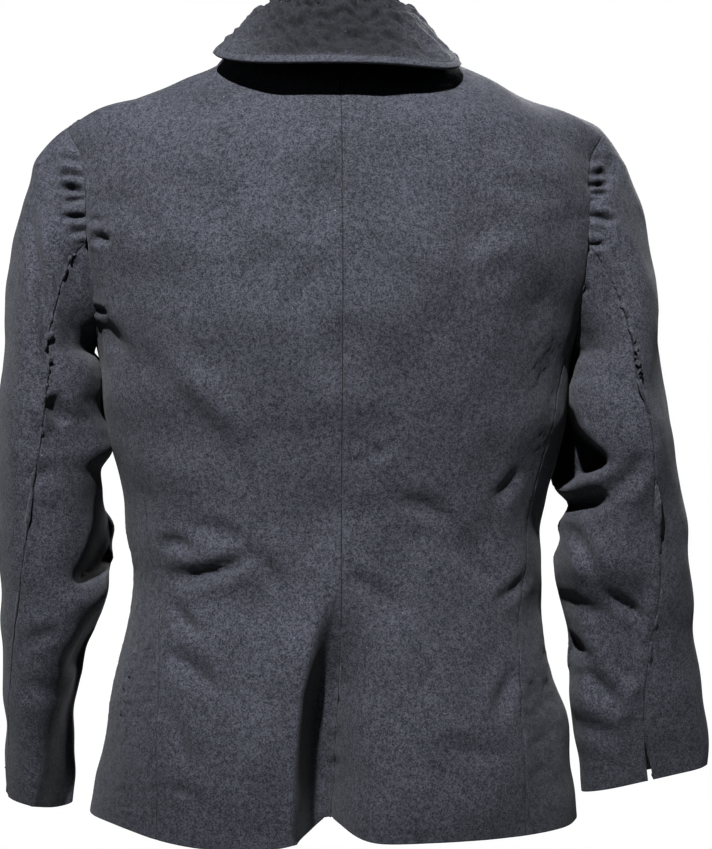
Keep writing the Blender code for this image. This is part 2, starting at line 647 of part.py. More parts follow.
def sleeve_piece(name, side, rings, folds, colour, shares, raised, upper):
    stops, table = sleeve_table(rings)
    place = (side, stops, table, folds)
    way = -1 if upper else 1
    front = SLEEVE_FRONT_SEAM if upper else SLEEVE_FRONT_SEAM + 360
    outer, inner = [], []
    for along_sleeve in even_shares(SLEEVE_ROWS, 1.35):
        back = smooth_through(stops, table[:, SLEEVE_COLUMNS.index("seam_angle")], along_sleeve)
        vent = max(0.0, (along_sleeve - VENT_START) / (1 - VENT_START)) * VENT_OPENING
        first = back + way * (SEAM_GAP + vent) / 2 / sleeve_frame(*place, along_sleeve, back)[1]
        last = front - way * SEAM_GAP / 2 / sleeve_frame(*place, along_sleeve, front)[1]
        risen = min(1.0, GATHER_HEIGHT_AT_SEAM + along_sleeve / GATHER_RISE)
        grown = risen * max(0.0, 1 - along_sleeve / GATHER_LENGTH)
        outside, inside = [], []
        for share, gathered in zip(shares, raised):
            degrees = first + (last - first) * share
            point = sleeve_point(*place, along_sleeve, degrees, GATHER_HEIGHT * grown * gathered)
            normal = sleeve_frame(*place, along_sleeve, degrees)[0]
            outside.append(point - normal * SEAM_GAP)
            inside.append(point - normal * (SEAM_GAP + CLOTH))
        outer.append(outside)
        inner.append(inside)
    return wall(name, outer, inner, colour)


def sleeves(side, word, rings, folds, colour):
    angles, raised = sleeve_columns()
    shares = [(angles[0] - a) / (angles[0] - angles[-1]) for a in angles]
    sleeve_piece(f"upper_sleeve_{word}", side, rings, folds, colour, shares, raised, upper=True)
    plain = even_shares(UNDER_SLEEVE_COLUMNS)
    flat = [0] * len(plain)
    sleeve_piece(f"under_sleeve_{word}", side, rings, folds, colour, plain, flat, upper=False)


def neck_place(share):
    """The neck seam's body angle and height, from the centre back to the gorge."""
    half_back = [(math.radians(a), -NECK_BACK_DROP * math.cos(math.radians(a)) ** 2) for a in range(0, 91, 6)]
    _, _, neck = front_inner_path()
    half_front = [(front_angle(x, z), z) for x, z in reversed(neck)]
    places = half_back + half_front[1:]
    points = [body_point(LEFT, *place) for place in places]
    lengths = np.concatenate([[0], np.cumsum([(b - a).length for a, b in zip(points, points[1:])])])
    at = share * lengths[-1]
    angle = np.interp(at, lengths, [p[0] for p in places])
    height = np.interp(at, lengths, [p[1] for p in places])
    return float(angle), float(height)


def gorge_point(side, share, lift):
    """The collar's front end: beside the lapel as far as the notch, then out to the collar's tip."""
    if share < 0.5:
        start, end, t = GORGE_START, NOTCH, share / 0.5
    else:
        start, end, t = NOTCH, COLLAR_TIP, (share - 0.5) / 0.5
    x, z = start[0] + (end[0] - start[0]) * t, start[1] + (end[1] - start[1]) * t + GORGE_GAP
    return body_surface(side, front_angle(-x, z), z, lift)


def collar_section(side, share):
    """One section across the collar: up the stand, over the fold and down the fall to its edge."""
    table = np.array(COLLAR_STATIONS)
    stand, lean, edge_angle, edge_height, edge_lift, belly = (
        smooth_through(table[:, 0], table[:, i], share) for i in range(1, len(COLLAR_COLUMNS))
    )
    place = neck_place(share)
    flat = ease((share - 0.45) / 0.5)
    up = (Vector((0, 0, 1)) * (1 - flat) + body_normal(side, *place) * flat).normalized()
    edge = body_surface(side, math.radians(edge_angle), edge_height, edge_lift)
    tip = body_surface(side, front_angle(-COLLAR_TIP[0], COLLAR_TIP[1]), COLLAR_TIP[1], edge_lift)
    edge = edge.lerp(tip, ease((share - 0.75) / 0.25))
    seam = body_point(side, *place)
    across = edge - seam
    across = (across - up * across.dot(up)).normalized()
    foot = seam + up * COLLAR_FOOT_RISE - across * COLLAR_FOOT_INWARD
    top = foot + up * stand - across * lean
    radius = COLLAR_FOLD_RADIUS
    hub = top - up * radius + across * radius
    points = [foot.lerp(top - up * radius, i / STAND_COLUMNS) for i in range(STAND_COLUMNS)]
    for i in range(FOLD_COLUMNS_ROUND + 1):
        turn = math.pi * i / FOLD_COLUMNS_ROUND
        points.append(hub - across * radius * math.cos(turn) + up * radius * math.sin(turn))
    start = points[-1]
    bowed = start.lerp(edge, 0.45) + (across + up).normalized() * belly
    end = ease((share - 0.85) / 0.15)
    for i in range(1, FALL_COLUMNS + 1):
        t = i / FALL_COLUMNS
        bow = start * (1 - t) ** 2 + bowed * 2 * t * (1 - t) + edge * t * t
        points.append(bow.lerp(gorge_point(side, t, edge_lift), end))
    return points


def collar(colour):
    half = COLLAR_ROWS // 2
    sections = [collar_section(RIGHT, i / half) for i in range(half, 0, -1)]
    sections += [collar_section(LEFT, i / half) for i in range(half + 1)]
    rows, columns = len(sections), len(sections[0])
    outer, inner = [], []
    for r in range(rows):
        low, high = sections[max(r - 1, 0)], sections[min(r + 1, rows - 1)]
        outer.append(sections[r])
        row = []
        for c in range(columns):
            across = sections[r][min(c + 1, columns - 1)] - sections[r][max(c - 1, 0)]
            normal = across.cross(high[c] - low[c]).normalized()
            row.append(sections[r][c] - normal * COLLAR_CLOTH)
        inner.append(row)
    return wall("collar", outer, inner, colour)


def button(colour):
    """A turned disc with a raised rim, seated on the front that laps over."""
    angle = math.pi
    lift = 2 * (CLOTH + LAPEL_GAP + LAYER_GAP)
    seat = body_surface(RIGHT, angle, BUTTON_HEIGHT, lift)
    outward = body_normal(RIGHT, angle, BUTTON_HEIGHT)
    radius, rim = BUTTON_RADIUS, BUTTON_RIM
    profile = (
        (0.0, 0.0),
        (radius * 0.80, 0.0),
        (radius, BUTTON_THICKNESS * 0.45),
        (radius * 0.97, BUTTON_THICKNESS * 0.85),
        (radius * 0.88, BUTTON_THICKNESS),
        (radius * 0.76, BUTTON_THICKNESS - rim),
        (0.0, BUTTON_THICKNESS - rim),
    )
    mesh = bmesh.new()
    verts = [mesh.verts.new((r, 0, z)) for r, z in profile]
    edges = [mesh.edges.new(pair) for pair in zip(verts, verts[1:])]
    bmesh.ops.spin(
        mesh, geom=verts + edges, axis=(0, 0, 1), cent=(0, 0, 0), angle=math.tau, steps=BUTTON_FACETS, use_merge=True
    )
    bmesh.ops.remove_doubles(mesh, verts=mesh.verts, dist=1e-6)
    bmesh.ops.recalc_face_normals(mesh, faces=mesh.faces)
    made = object_from("button", mesh, colour)
    turn = Vector((0, 0, 1)).rotation_difference(outward)
    made.rotation_mode = "QUATERNION"
    made.rotation_quaternion = turn
    made.location = seat


def main():
    for old in list(bpy.data.objects):
        bpy.data.objects.remove(old)
    suiting = finish("suiting", SUITING, 0.85)
    horn = finish("horn", HORN, 0.4)
    for side, word in ((LEFT, "left"), (RIGHT, "right")):
        back_panel(f"back_{word}", side, suiting)
        side_panel(f"side_{word}", side, suiting)
        front_panel(f"front_{word}", side, suiting)
        lapel(f"lapel_{word}", side, suiting)
    sleeves(LEFT, "left", LEFT_SLEEVE_RINGS, LEFT_SLEEVE_FOLDS, suiting)
    sleeves(RIGHT, "right", RIGHT_SLEEVE_RINGS, RIGHT_SLEEVE_FOLDS, suiting)
    collar(suiting)
    button(horn)


main()
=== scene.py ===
# %% [markdown]
# # A fitted blazer, seen from behind
# This lesson dresses a plain model of a woman's tailored blazer. The model's cloth walls already have the
# right size and cut. What they lack is what makes cloth look like cloth: soft creases, seams that pull in,
# a woven surface and stitches. Each cell below adds one of these. Sizes are in metres. The front faces -Y,
# the back +Y, and +X is the wearer's left, which is the left of the picture because we look from behind.

# %% Load the model
import json
import math

import bmesh
import bpy
import numpy as np
from mathutils import Matrix, Vector, kdtree
from mathutils.bvhtree import BVHTree

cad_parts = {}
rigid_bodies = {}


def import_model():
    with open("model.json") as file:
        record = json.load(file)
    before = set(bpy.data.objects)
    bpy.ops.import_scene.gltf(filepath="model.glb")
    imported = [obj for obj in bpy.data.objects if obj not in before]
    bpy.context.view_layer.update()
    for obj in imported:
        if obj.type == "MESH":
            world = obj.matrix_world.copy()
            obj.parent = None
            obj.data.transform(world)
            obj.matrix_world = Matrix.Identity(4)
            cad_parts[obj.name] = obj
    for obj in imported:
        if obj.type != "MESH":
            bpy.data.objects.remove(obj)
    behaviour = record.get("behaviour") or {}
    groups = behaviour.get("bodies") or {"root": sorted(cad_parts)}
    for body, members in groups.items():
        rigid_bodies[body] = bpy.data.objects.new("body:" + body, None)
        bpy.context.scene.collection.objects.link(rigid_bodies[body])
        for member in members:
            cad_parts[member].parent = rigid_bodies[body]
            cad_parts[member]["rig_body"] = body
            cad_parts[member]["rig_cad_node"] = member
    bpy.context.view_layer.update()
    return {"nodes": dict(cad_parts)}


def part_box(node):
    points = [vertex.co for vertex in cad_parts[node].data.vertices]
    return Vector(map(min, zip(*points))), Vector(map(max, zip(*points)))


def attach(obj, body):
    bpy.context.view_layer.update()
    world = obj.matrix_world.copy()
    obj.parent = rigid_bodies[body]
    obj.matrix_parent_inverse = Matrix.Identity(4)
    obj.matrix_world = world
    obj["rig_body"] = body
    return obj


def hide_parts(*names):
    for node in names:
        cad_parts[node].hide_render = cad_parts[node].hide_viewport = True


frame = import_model()

# %% [markdown]
# ## The camera
# A long lens from 1.7 m flattens the garment a little, as in a catalogue picture. The camera is level with
# the waist and 3 degrees to one side of straight behind. A step aside puts the blazer left of the middle.

# %% Camera
CAMERA_DISTANCE = 1.70
CAMERA_HEIGHT = -0.285
CAMERA_TURN = math.radians(177)
CAMERA_ASIDE = 0.0153
LENS = 94.0

away = Vector((math.sin(CAMERA_TURN), -math.cos(CAMERA_TURN), 0))
to_the_right = Vector((math.cos(CAMERA_TURN), math.sin(CAMERA_TURN), 0))
place = away * CAMERA_DISTANCE + to_the_right * CAMERA_ASIDE
bpy.ops.object.camera_add(location=(place.x, place.y, CAMERA_HEIGHT), rotation=(math.pi / 2, 0, CAMERA_TURN))
camera = bpy.context.object
camera.name = "camera"
camera.data.lens = LENS
camera.data.sensor_width = 36
bpy.context.scene.camera = camera

# %% [markdown]
# ## Floor, room and light
# The garment hangs at standing height above a plain pale floor in a white room. One spotlight high behind the
# camera is small enough to give the collar its crisp shadow, and its soft cone leaves the hem and the cuffs
# darker than the shoulders. The room looks white but gives little light, so that the folds stay dark.

# %% Stage and lights
FLOOR_DEPTH = -1.45


def plain_paint(name, colour):
    paint = bpy.data.materials.new(name)
    paint.use_nodes = True
    shader = paint.node_tree.nodes["Principled BSDF"]
    shader.inputs["Base Color"].default_value = (*colour, 1)
    shader.inputs["Roughness"].default_value = 0.9
    return paint


bpy.ops.mesh.primitive_plane_add(size=8, location=(0, 0, FLOOR_DEPTH))
floor = bpy.context.object
floor.name = "floor"
floor.data.materials.append(plain_paint("pale_floor", (0.56, 0.56, 0.56)))

LAMPS = (
    # kind, name, place, aim, watts, size
    ("SPOT", "key", (1.10, 4.15, 4.19), (0.0, 0.05, -0.08), 8600, 0.10),
    ("AREA", "left_fill", (2.60, 1.30, 0.30), (0.0, 0.0, -0.30), 9, 1.4),
    ("AREA", "front_fill", (-1.2, -2.6, 1.2), (0.0, 0.0, -0.3), 170, 1.6),
    ("AREA", "floor_light", (0.0, 0.0, -0.80), (0.0, 0.01, -1.45), 45, 1.6),
)
KEY_CONE = math.radians(12.6)
for kind, name, spot, aim, watts, size in LAMPS:
    bpy.ops.object.light_add(type=kind, location=spot)
    lamp = bpy.context.object
    lamp.name = name
    lamp.data.energy = watts
    lamp.rotation_euler = (Vector(aim) - Vector(spot)).to_track_quat("-Z", "Y").to_euler()
    if kind == "SPOT":
        lamp.data.shadow_soft_size = size
        lamp.data.spot_size = KEY_CONE
        lamp.data.spot_blend = 1.0
    else:
        lamp.data.shape = "DISK"
        lamp.data.size = size

ROOM_GLOW = 0.085
ROOM_WHITE = 1.0
CONTRAST = 0.78
world = bpy.data.worlds.new("white_room")
bpy.context.scene.world = world
world.use_nodes = True
room = world.node_tree
glow = room.nodes["Background"]
glow.inputs["Color"].default_value = (0.70, 0.84, 1.0, 1)
glow.inputs["Strength"].default_value = ROOM_GLOW
white = room.nodes.new("ShaderNodeBackground")
white.inputs["Color"].default_value = (1, 1, 1, 1)
white.inputs["Strength"].default_value = ROOM_WHITE
seen = room.nodes.new("ShaderNodeLightPath")
either = room.nodes.new("ShaderNodeMixShader")
room.links.new(seen.outputs["Is Camera Ray"], either.inputs["Fac"])
room.links.new(glow.outputs[0], either.inputs[1])
room.links.new(white.outputs[0], either.inputs[2])
room.links.new(either.outputs[0], room.nodes["World Output"].inputs["Surface"])
bpy.context.scene.view_settings.view_transform = "Standard"
bpy.context.scene.view_settings.look = "None"
bpy.context.scene.view_settings.gamma = CONTRAST

# %% [markdown]
# ## From wall to thin cloth
# A node of the model is a closed wall. Cloth is better shaped as one skin, so we copy the wall, keep its
# outer side, turn its triangles back into quads and subdivide it finely. Before that the skin is unwrapped
# like the paper pattern it was cut from, turned so that its grain runs up the garment, and scaled so that
# one unit is one metre. The weave then follows the cloth.

# %% Helpers for one skin
CORNER_TURN = math.radians(40)
FLAT_ENOUGH = math.radians(62)
QUAD_TURN = 1.2
SAME_PLACE = 1e-5
WALL = 0.0045
SKIN_LEVELS = 3


def only(piece):
    """Deselects everything else, because an operator works on all that is selected."""
    bpy.ops.object.select_all(action="DESELECT")
    piece.select_set(True)
    bpy.context.view_layer.objects.active = piece


def edit(piece, *steps):
    """Runs some edit-mode steps on one piece."""
    only(piece)
    bpy.ops.object.mode_set(mode="EDIT")
    for step in steps:
        step()
    bpy.ops.object.mode_set(mode="OBJECT")


def apply_modifier(piece, kind, **settings):
    only(piece)
    bpy.ops.object.modifier_add(type=kind)
    modifier = piece.modifiers[-1]
    for key, value in settings.items():
        setattr(modifier, key, value)
    bpy.ops.object.modifier_apply(modifier=modifier.name)


def keep_corners(skin):
    """Creases the cut piece's corners, so that subdividing doesn't round them off."""
    shape = bmesh.new()
    shape.from_mesh(skin.data)
    crease = shape.verts.layers.float.new("crease_vert")
    for point in shape.verts:
        rim = [edge.other_vert(point).co - point.co for edge in point.link_edges if edge.is_boundary]
        if len(rim) == 2 and rim[0].angle(-rim[1]) > CORNER_TURN:
            point[crease] = 1.0
    shape.to_mesh(skin.data)
    shape.free()


def lay_out_pattern(skin):
    """Unwraps the skin flat, grain upright and in metres. Gives the flat piece's width, length and area."""
    edit(
        skin,
        lambda: bpy.ops.mesh.select_all(action="SELECT"),
        lambda: bpy.ops.uv.unwrap(method="ANGLE_BASED", margin=0.0),
    )
    mesh = skin.data
    flat = np.zeros(len(mesh.loops) * 2)
    mesh.uv_layers.active.data.foreach_get("uv", flat)
    flat = flat.reshape(-1, 2)
    corner = np.zeros(len(mesh.loops), dtype=int)
    mesh.loops.foreach_get("vertex_index", corner)
    height = points_of(skin)[0][corner, 2]
    slope = np.linalg.lstsq(np.c_[flat, np.ones(len(flat))], height, rcond=None)[0][:2]
    up = slope / np.linalg.norm(slope)
    flat = flat @ np.array([[up[1], up[0]], [-up[0], up[1]]])
    paper = 0.0
    for face in mesh.polygons:
        ring = flat[list(face.loop_indices)]
        ahead = np.roll(ring, -1, axis=0)
        paper += abs((ring[:, 0] * ahead[:, 1] - ring[:, 1] * ahead[:, 0]).sum()) / 2
    cloth = sum(face.area for face in mesh.polygons)
    flat *= math.sqrt(cloth / paper)
    mesh.uv_layers.active.data.foreach_set("uv", flat.ravel())
    width, length = np.ptp(flat, axis=0)
    return width, length, cloth


def points_of(skin):
    mesh = skin.data
    places = np.zeros(len(mesh.vertices) * 3)
    mesh.vertices.foreach_get("co", places)
    normals = np.zeros(len(mesh.vertices) * 3)
    mesh.vertices.foreach_get("normal", normals)
    return places.reshape(-1, 3), normals.reshape(-1, 3)


def move_to(skin, places):
    skin.data.vertices.foreach_set("co", places.ravel())
    skin.data.update()


def select_edge_faces(skin):
    """Selects the faces that close a wall's edges: behind them the wall goes on for more than WALL."""
    shape = bmesh.new()
    shape.from_mesh(skin.data)
    solid = BVHTree.FromBMesh(shape)
    for face in shape.faces:
        start = face.calc_center_median() - face.normal * SAME_PLACE
        distance = solid.ray_cast(start, -face.normal)[3]
        face.select_set(distance is None or distance > WALL)
    shape.to_mesh(skin.data)
    shape.free()


def outer_skin(node, hub):
    """Copies a wall and keeps its outer side: the side that faces away from hub, a point inside."""
    only(frame["nodes"][node])
    bpy.ops.object.duplicate()
    skin = bpy.context.object
    skin.name = node + "_cloth"
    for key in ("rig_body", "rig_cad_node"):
        del skin[key]
    skin.parent = None
    skin.data.materials.clear()
    edit(
        skin,
        lambda: bpy.ops.mesh.select_all(action="SELECT"),
        lambda: bpy.ops.mesh.remove_doubles(threshold=SAME_PLACE),
        lambda: bpy.ops.mesh.select_mode(type="FACE"),
        lambda: bpy.ops.mesh.select_all(action="DESELECT"),
    )
    select_edge_faces(skin)
    edit(skin, lambda: bpy.ops.mesh.delete(type="FACE"))
    best = max(skin.data.polygons, key=lambda f: f.area * f.normal.dot((f.center - Vector(hub)).normalized()))
    best.select = True
    edit(
        skin,
        lambda: bpy.ops.mesh.faces_select_linked_flat(sharpness=FLAT_ENOUGH),
        lambda: bpy.ops.mesh.select_all(action="INVERT"),
        lambda: bpy.ops.mesh.delete(type="FACE"),
        lambda: bpy.ops.mesh.select_all(action="SELECT"),
        lambda: bpy.ops.mesh.tris_convert_to_quads(face_threshold=QUAD_TURN, shape_threshold=QUAD_TURN),
    )
    width, length, area = lay_out_pattern(skin)
    keep_corners(skin)
    levels = dict(levels=SKIN_LEVELS, render_levels=SKIN_LEVELS)
    apply_modifier(skin, "SUBSURF", boundary_smooth="PRESERVE_CORNERS", **levels)
    cut = f"{width:.3f} x {length:.3f} m, {area:.4f} square metres"
    print(f"{node}: {len(skin.data.polygons)} faces, cut {cut}")
    return skin


# %% Make the skins
SKINS = (
    # nodes, a point on their inner side
    (("back_left", "back_right", "side_left", "side_right", "front_left", "front_right"), (0, 0, -0.3)),
    (("lapel_left", "lapel_right"), (0, 0.3, -0.2)),
    (("upper_sleeve_left", "under_sleeve_left"), (0.215, 0, -0.3)),
    (("upper_sleeve_right", "under_sleeve_right"), (-0.22, 0, -0.3)),
    (("collar",), (0, 0, -0.02)),
)
skins = {node: outer_skin(node, hub) for nodes, hub in SKINS for node in nodes}

# %% [markdown]
# ## Sewing the pieces together
# The model leaves a hair's gap between pieces. A sewn seam has none: the two cut edges meet and turn
# inwards, which leaves a fine groove. We add a narrow strip round each skin's edge with Inset. Each edge is
# then moved a hair past the middle of the gap to its neighbour, and sunk. For that the neighbour's edge is
# cut into short steps, and the nearest one is noted. Free edges, such as the hem and the vents, stay.

# %% The seams
STRIP = 0.0007
SEAM_REACH = 0.0050
EDGE_STEP = 0.0005
SEAM_SHARE = 0.56
VENT_TOP = -0.515
HIND_SEAM_BEHIND = -0.030
SIDES = ("left", "right")

SEAMS = [("back_left", "back_right")]
FOLDS = []
for side in SIDES:
    for one, other in (
        ("back", "side"), ("side", "front"), ("back", "front"),
        ("back", "upper_sleeve"), ("back", "under_sleeve"), ("side", "under_sleeve"),
        ("front", "upper_sleeve"), ("front", "under_sleeve"), ("upper_sleeve", "under_sleeve"),
    ):
        SEAMS.append((f"{one}_{side}", f"{other}_{side}"))
    for one in ("back", "front", "lapel"):
        SEAMS.append(("collar", f"{one}_{side}"))
    FOLDS.append((f"front_{side}", f"lapel_{side}"))


def rim_of(skin):
    """The open edge's points, and its lines as pairs of points."""
    shape = bmesh.new()
    shape.from_mesh(skin.data)
    rim = [point.index for point in shape.verts if point.is_boundary]
    lines = [tuple(point.index for point in edge.verts) for edge in shape.edges if edge.is_boundary]
    shape.free()
    return np.array(rim), lines


def fine_steps(places, lines):
    """Close places all along some lines, and which share of a line's two ends each of them is."""
    steps = []
    shares = []
    for first, last in lines:
        start, end = places[first], places[last]
        count = max(1, round(np.linalg.norm(end - start) / EDGE_STEP))
        steps += [start + (end - start) * i / count for i in range(count)]
        shares += [(first, last, i / count) for i in range(count)]
    return np.array(steps), shares


def tree_of(points):
    tree = kdtree.KDTree(len(points))
    for i, point in enumerate(points):
        tree.insert(point, i)
    tree.balance()
    return tree


rims = {}
for node, skin in skins.items():
    edit(
        skin,
        lambda: bpy.ops.mesh.select_all(action="SELECT"),
        lambda: bpy.ops.mesh.inset(thickness=STRIP, depth=0, use_boundary=True),
    )
    rims[node] = rim_of(skin)
edge_steps = {node: fine_steps(points_of(skins[node])[0], lines) for node, (rim, lines) in rims.items()}
trees = {node: tree_of(steps) for node, (steps, shares) in edge_steps.items()}


def in_vent(pair, place):
    sleeve_pair = all("sleeve" in node for node in pair)
    return sleeve_pair and place[2] < VENT_TOP and place[1] > HIND_SEAM_BEHIND


sewn = {node: {} for node in skins}
folded = {node: {} for node in skins}
for pairs, kept in ((SEAMS, sewn), (FOLDS, folded)):
    for one, other in pairs:
        for here, there in ((one, other), (other, one)):
            places, _ = points_of(skins[here])
            for index in rims[here][0]:
                near, step, gap = trees[there].find(places[index])
                if gap < SEAM_REACH and not in_vent((one, other), places[index]):
                    meeting = places[index] * (1 - SEAM_SHARE) + np.array(near) * SEAM_SHARE
                    kept[here][int(index)] = (meeting, there, edge_steps[there][1][step])
for node in skins:
    print(node, "sewn edge points", len(sewn[node]), "folded", len(folded[node]), "of", len(rims[node][0]))

# %% [markdown]
# ## Shaping
# A crease is a soft line drawn on the garment, as (x, height) points, with a width and a depth. The skin
# sinks along it, or rises where the depth is below zero, most in its middle and not at all at its ends. A
# fainter rise on both sides makes it look pushed together. Ripples are a smooth unevenness, as from handling.

# %% Helpers for shaping
LIP = 0.28
LIP_PLACE = 2.0
LIP_WIDTH = 0.9
CREASE_REACH = 4
END_TAPER = 0.6
CREASE_STRENGTH = 1.4
FACING_FROM = -0.15
FACING_RANGE = 0.4


def smooth_line(points, steps=10):
    """A soft curve through some points."""
    points = np.array(points, dtype=float)
    padded = np.vstack([2 * points[0] - points[1], points, 2 * points[-1] - points[-2]])
    made = []
    for i in range(1, len(padded) - 2):
        before, start, end, after = padded[i - 1 : i + 3]
        for t in np.arange(steps) / steps:
            bend = (end - before) * t + (2 * before - 5 * start + 4 * end - after) * t**2
            made.append(start + (bend + (3 * start - before - 3 * end + after) * t**3) / 2)
    return np.array(made + [points[-1]])


def crease_depth(places, path, width, depth):
    """How far one crease sinks each place."""
    line = smooth_line(path)
    flat = places[:, [0, 2]]
    amount = np.zeros(len(places))
    low, high = line.min(0) - CREASE_REACH * width, line.max(0) + CREASE_REACH * width
    near = np.where(((flat > low) & (flat < high)).all(1))[0]
    if len(near) == 0:
        return amount
    starts, ends = line[:-1], line[1:]
    ways = ends - starts
    lengths = np.linalg.norm(ways, axis=1)
    done = np.concatenate([[0], np.cumsum(lengths)])
    off = flat[near, None] - starts[None]
    share = np.clip((off * ways).sum(2) / lengths**2, 0, 1)
    gaps = np.linalg.norm(off - share[..., None] * ways, axis=2)
    best = gaps.argmin(1)
    row = np.arange(len(near))
    gap = gaps[row, best]
    run = (done[best] + share[row, best] * lengths[best]) / done[-1]
    taper = np.clip(np.sin(math.pi * np.clip(run, 0.001, 0.999)), 0, 1) ** END_TAPER
    trough = np.exp(-((gap / width) ** 2))
    lips = LIP * np.exp(-(((gap - LIP_PLACE * width) / (LIP_WIDTH * width)) ** 2))
    amount[near] = depth * taper * (trough - lips)
    return amount


def step_depth(places, path, drop, edge, reach, fade_in, fade_out):
    """How far a fold with one steep flank sinks each place: nothing on one side of the path, and up to drop
    on the other, which recovers over reach. Seen from behind, the sunk side is the right of a path that is
    drawn downwards.
    """
    line = smooth_line(path)
    flat = places[:, [0, 2]]
    starts, ways = line[:-1], line[1:] - line[:-1]
    lengths = np.linalg.norm(ways, axis=1)
    best = np.full(len(places), 1e9)
    signed = np.full(len(places), -1e9)
    run = np.zeros(len(places))
    done = np.concatenate([[0], np.cumsum(lengths)])
    for start, way, length, before in zip(starts, ways, lengths, done):
        off = flat - start
        share = np.clip(off @ way / length**2, 0, 1)
        gap = np.linalg.norm(off - share[:, None] * way, axis=1)
        side = np.sign(off[:, 0] * way[1] - off[:, 1] * way[0])
        closer = gap < best - 1e-9
        best[closer] = gap[closer]
        signed[closer] = (gap * side)[closer]
        run[closer] = ((before + share * length) / done[-1])[closer]
    sunk = soft_step(signed, -edge, edge) * np.exp(-((np.clip(signed - edge, 0, None) / reach) ** 2))
    grown = soft_step(run, -0.01, fade_in) * (1 - soft_step(run, 1 - fade_out, 1.01))
    return drop * sunk * grown


def facing_share(normals, facing):
    """1 where the cloth faces back (facing 1) or forward (facing -1), and 0 where it faces the other way."""
    return np.clip((normals[:, 1] * facing - FACING_FROM) / FACING_RANGE, 0, 1)


def pressed(places, normals, facing, creases):
    amount = np.zeros(len(places))
    for path, width, depth in creases:
        amount += CREASE_STRENGTH * crease_depth(places, path, width, depth)
    return amount * facing_share(normals, facing)


def soft_step(values, start, end):
    share = np.clip((values - start) / (end - start), 0, 1)
    return share * share * (3 - 2 * share)


def ripples(places, size, seed, stretch=(1, 1, 1), waves=14):
    """A smooth random unevenness, mostly between -2 and 2, whose bumps are about size apart."""
    draw = np.random.default_rng(seed)
    total = np.zeros(len(places))
    scaled = places / np.array(stretch)
    for _ in range(waves):
        way = draw.normal(size=3)
        way *= 2 * math.pi / size * draw.uniform(0.6, 1.4) / np.linalg.norm(way)
        total += np.cos(scaled @ way + draw.uniform(0, 2 * math.pi))
    return total / math.sqrt(waves / 2)


def ball(places, middle, reach):
    """1 at the middle of a region and 0 well outside it."""
    return np.exp(-((((places - np.array(middle)) / np.array(reach)) ** 2).sum(1)))


# %% [markdown]
# ### The creases of the back
# They follow how a fitted back is strained: drag lines fall from the blades to the waist, short hard creases
# lie where the waist is nipped in, and long soft ones fan out over the hip. The deepest line is the steep
# flank of the fold that falls beside the centre back seam.

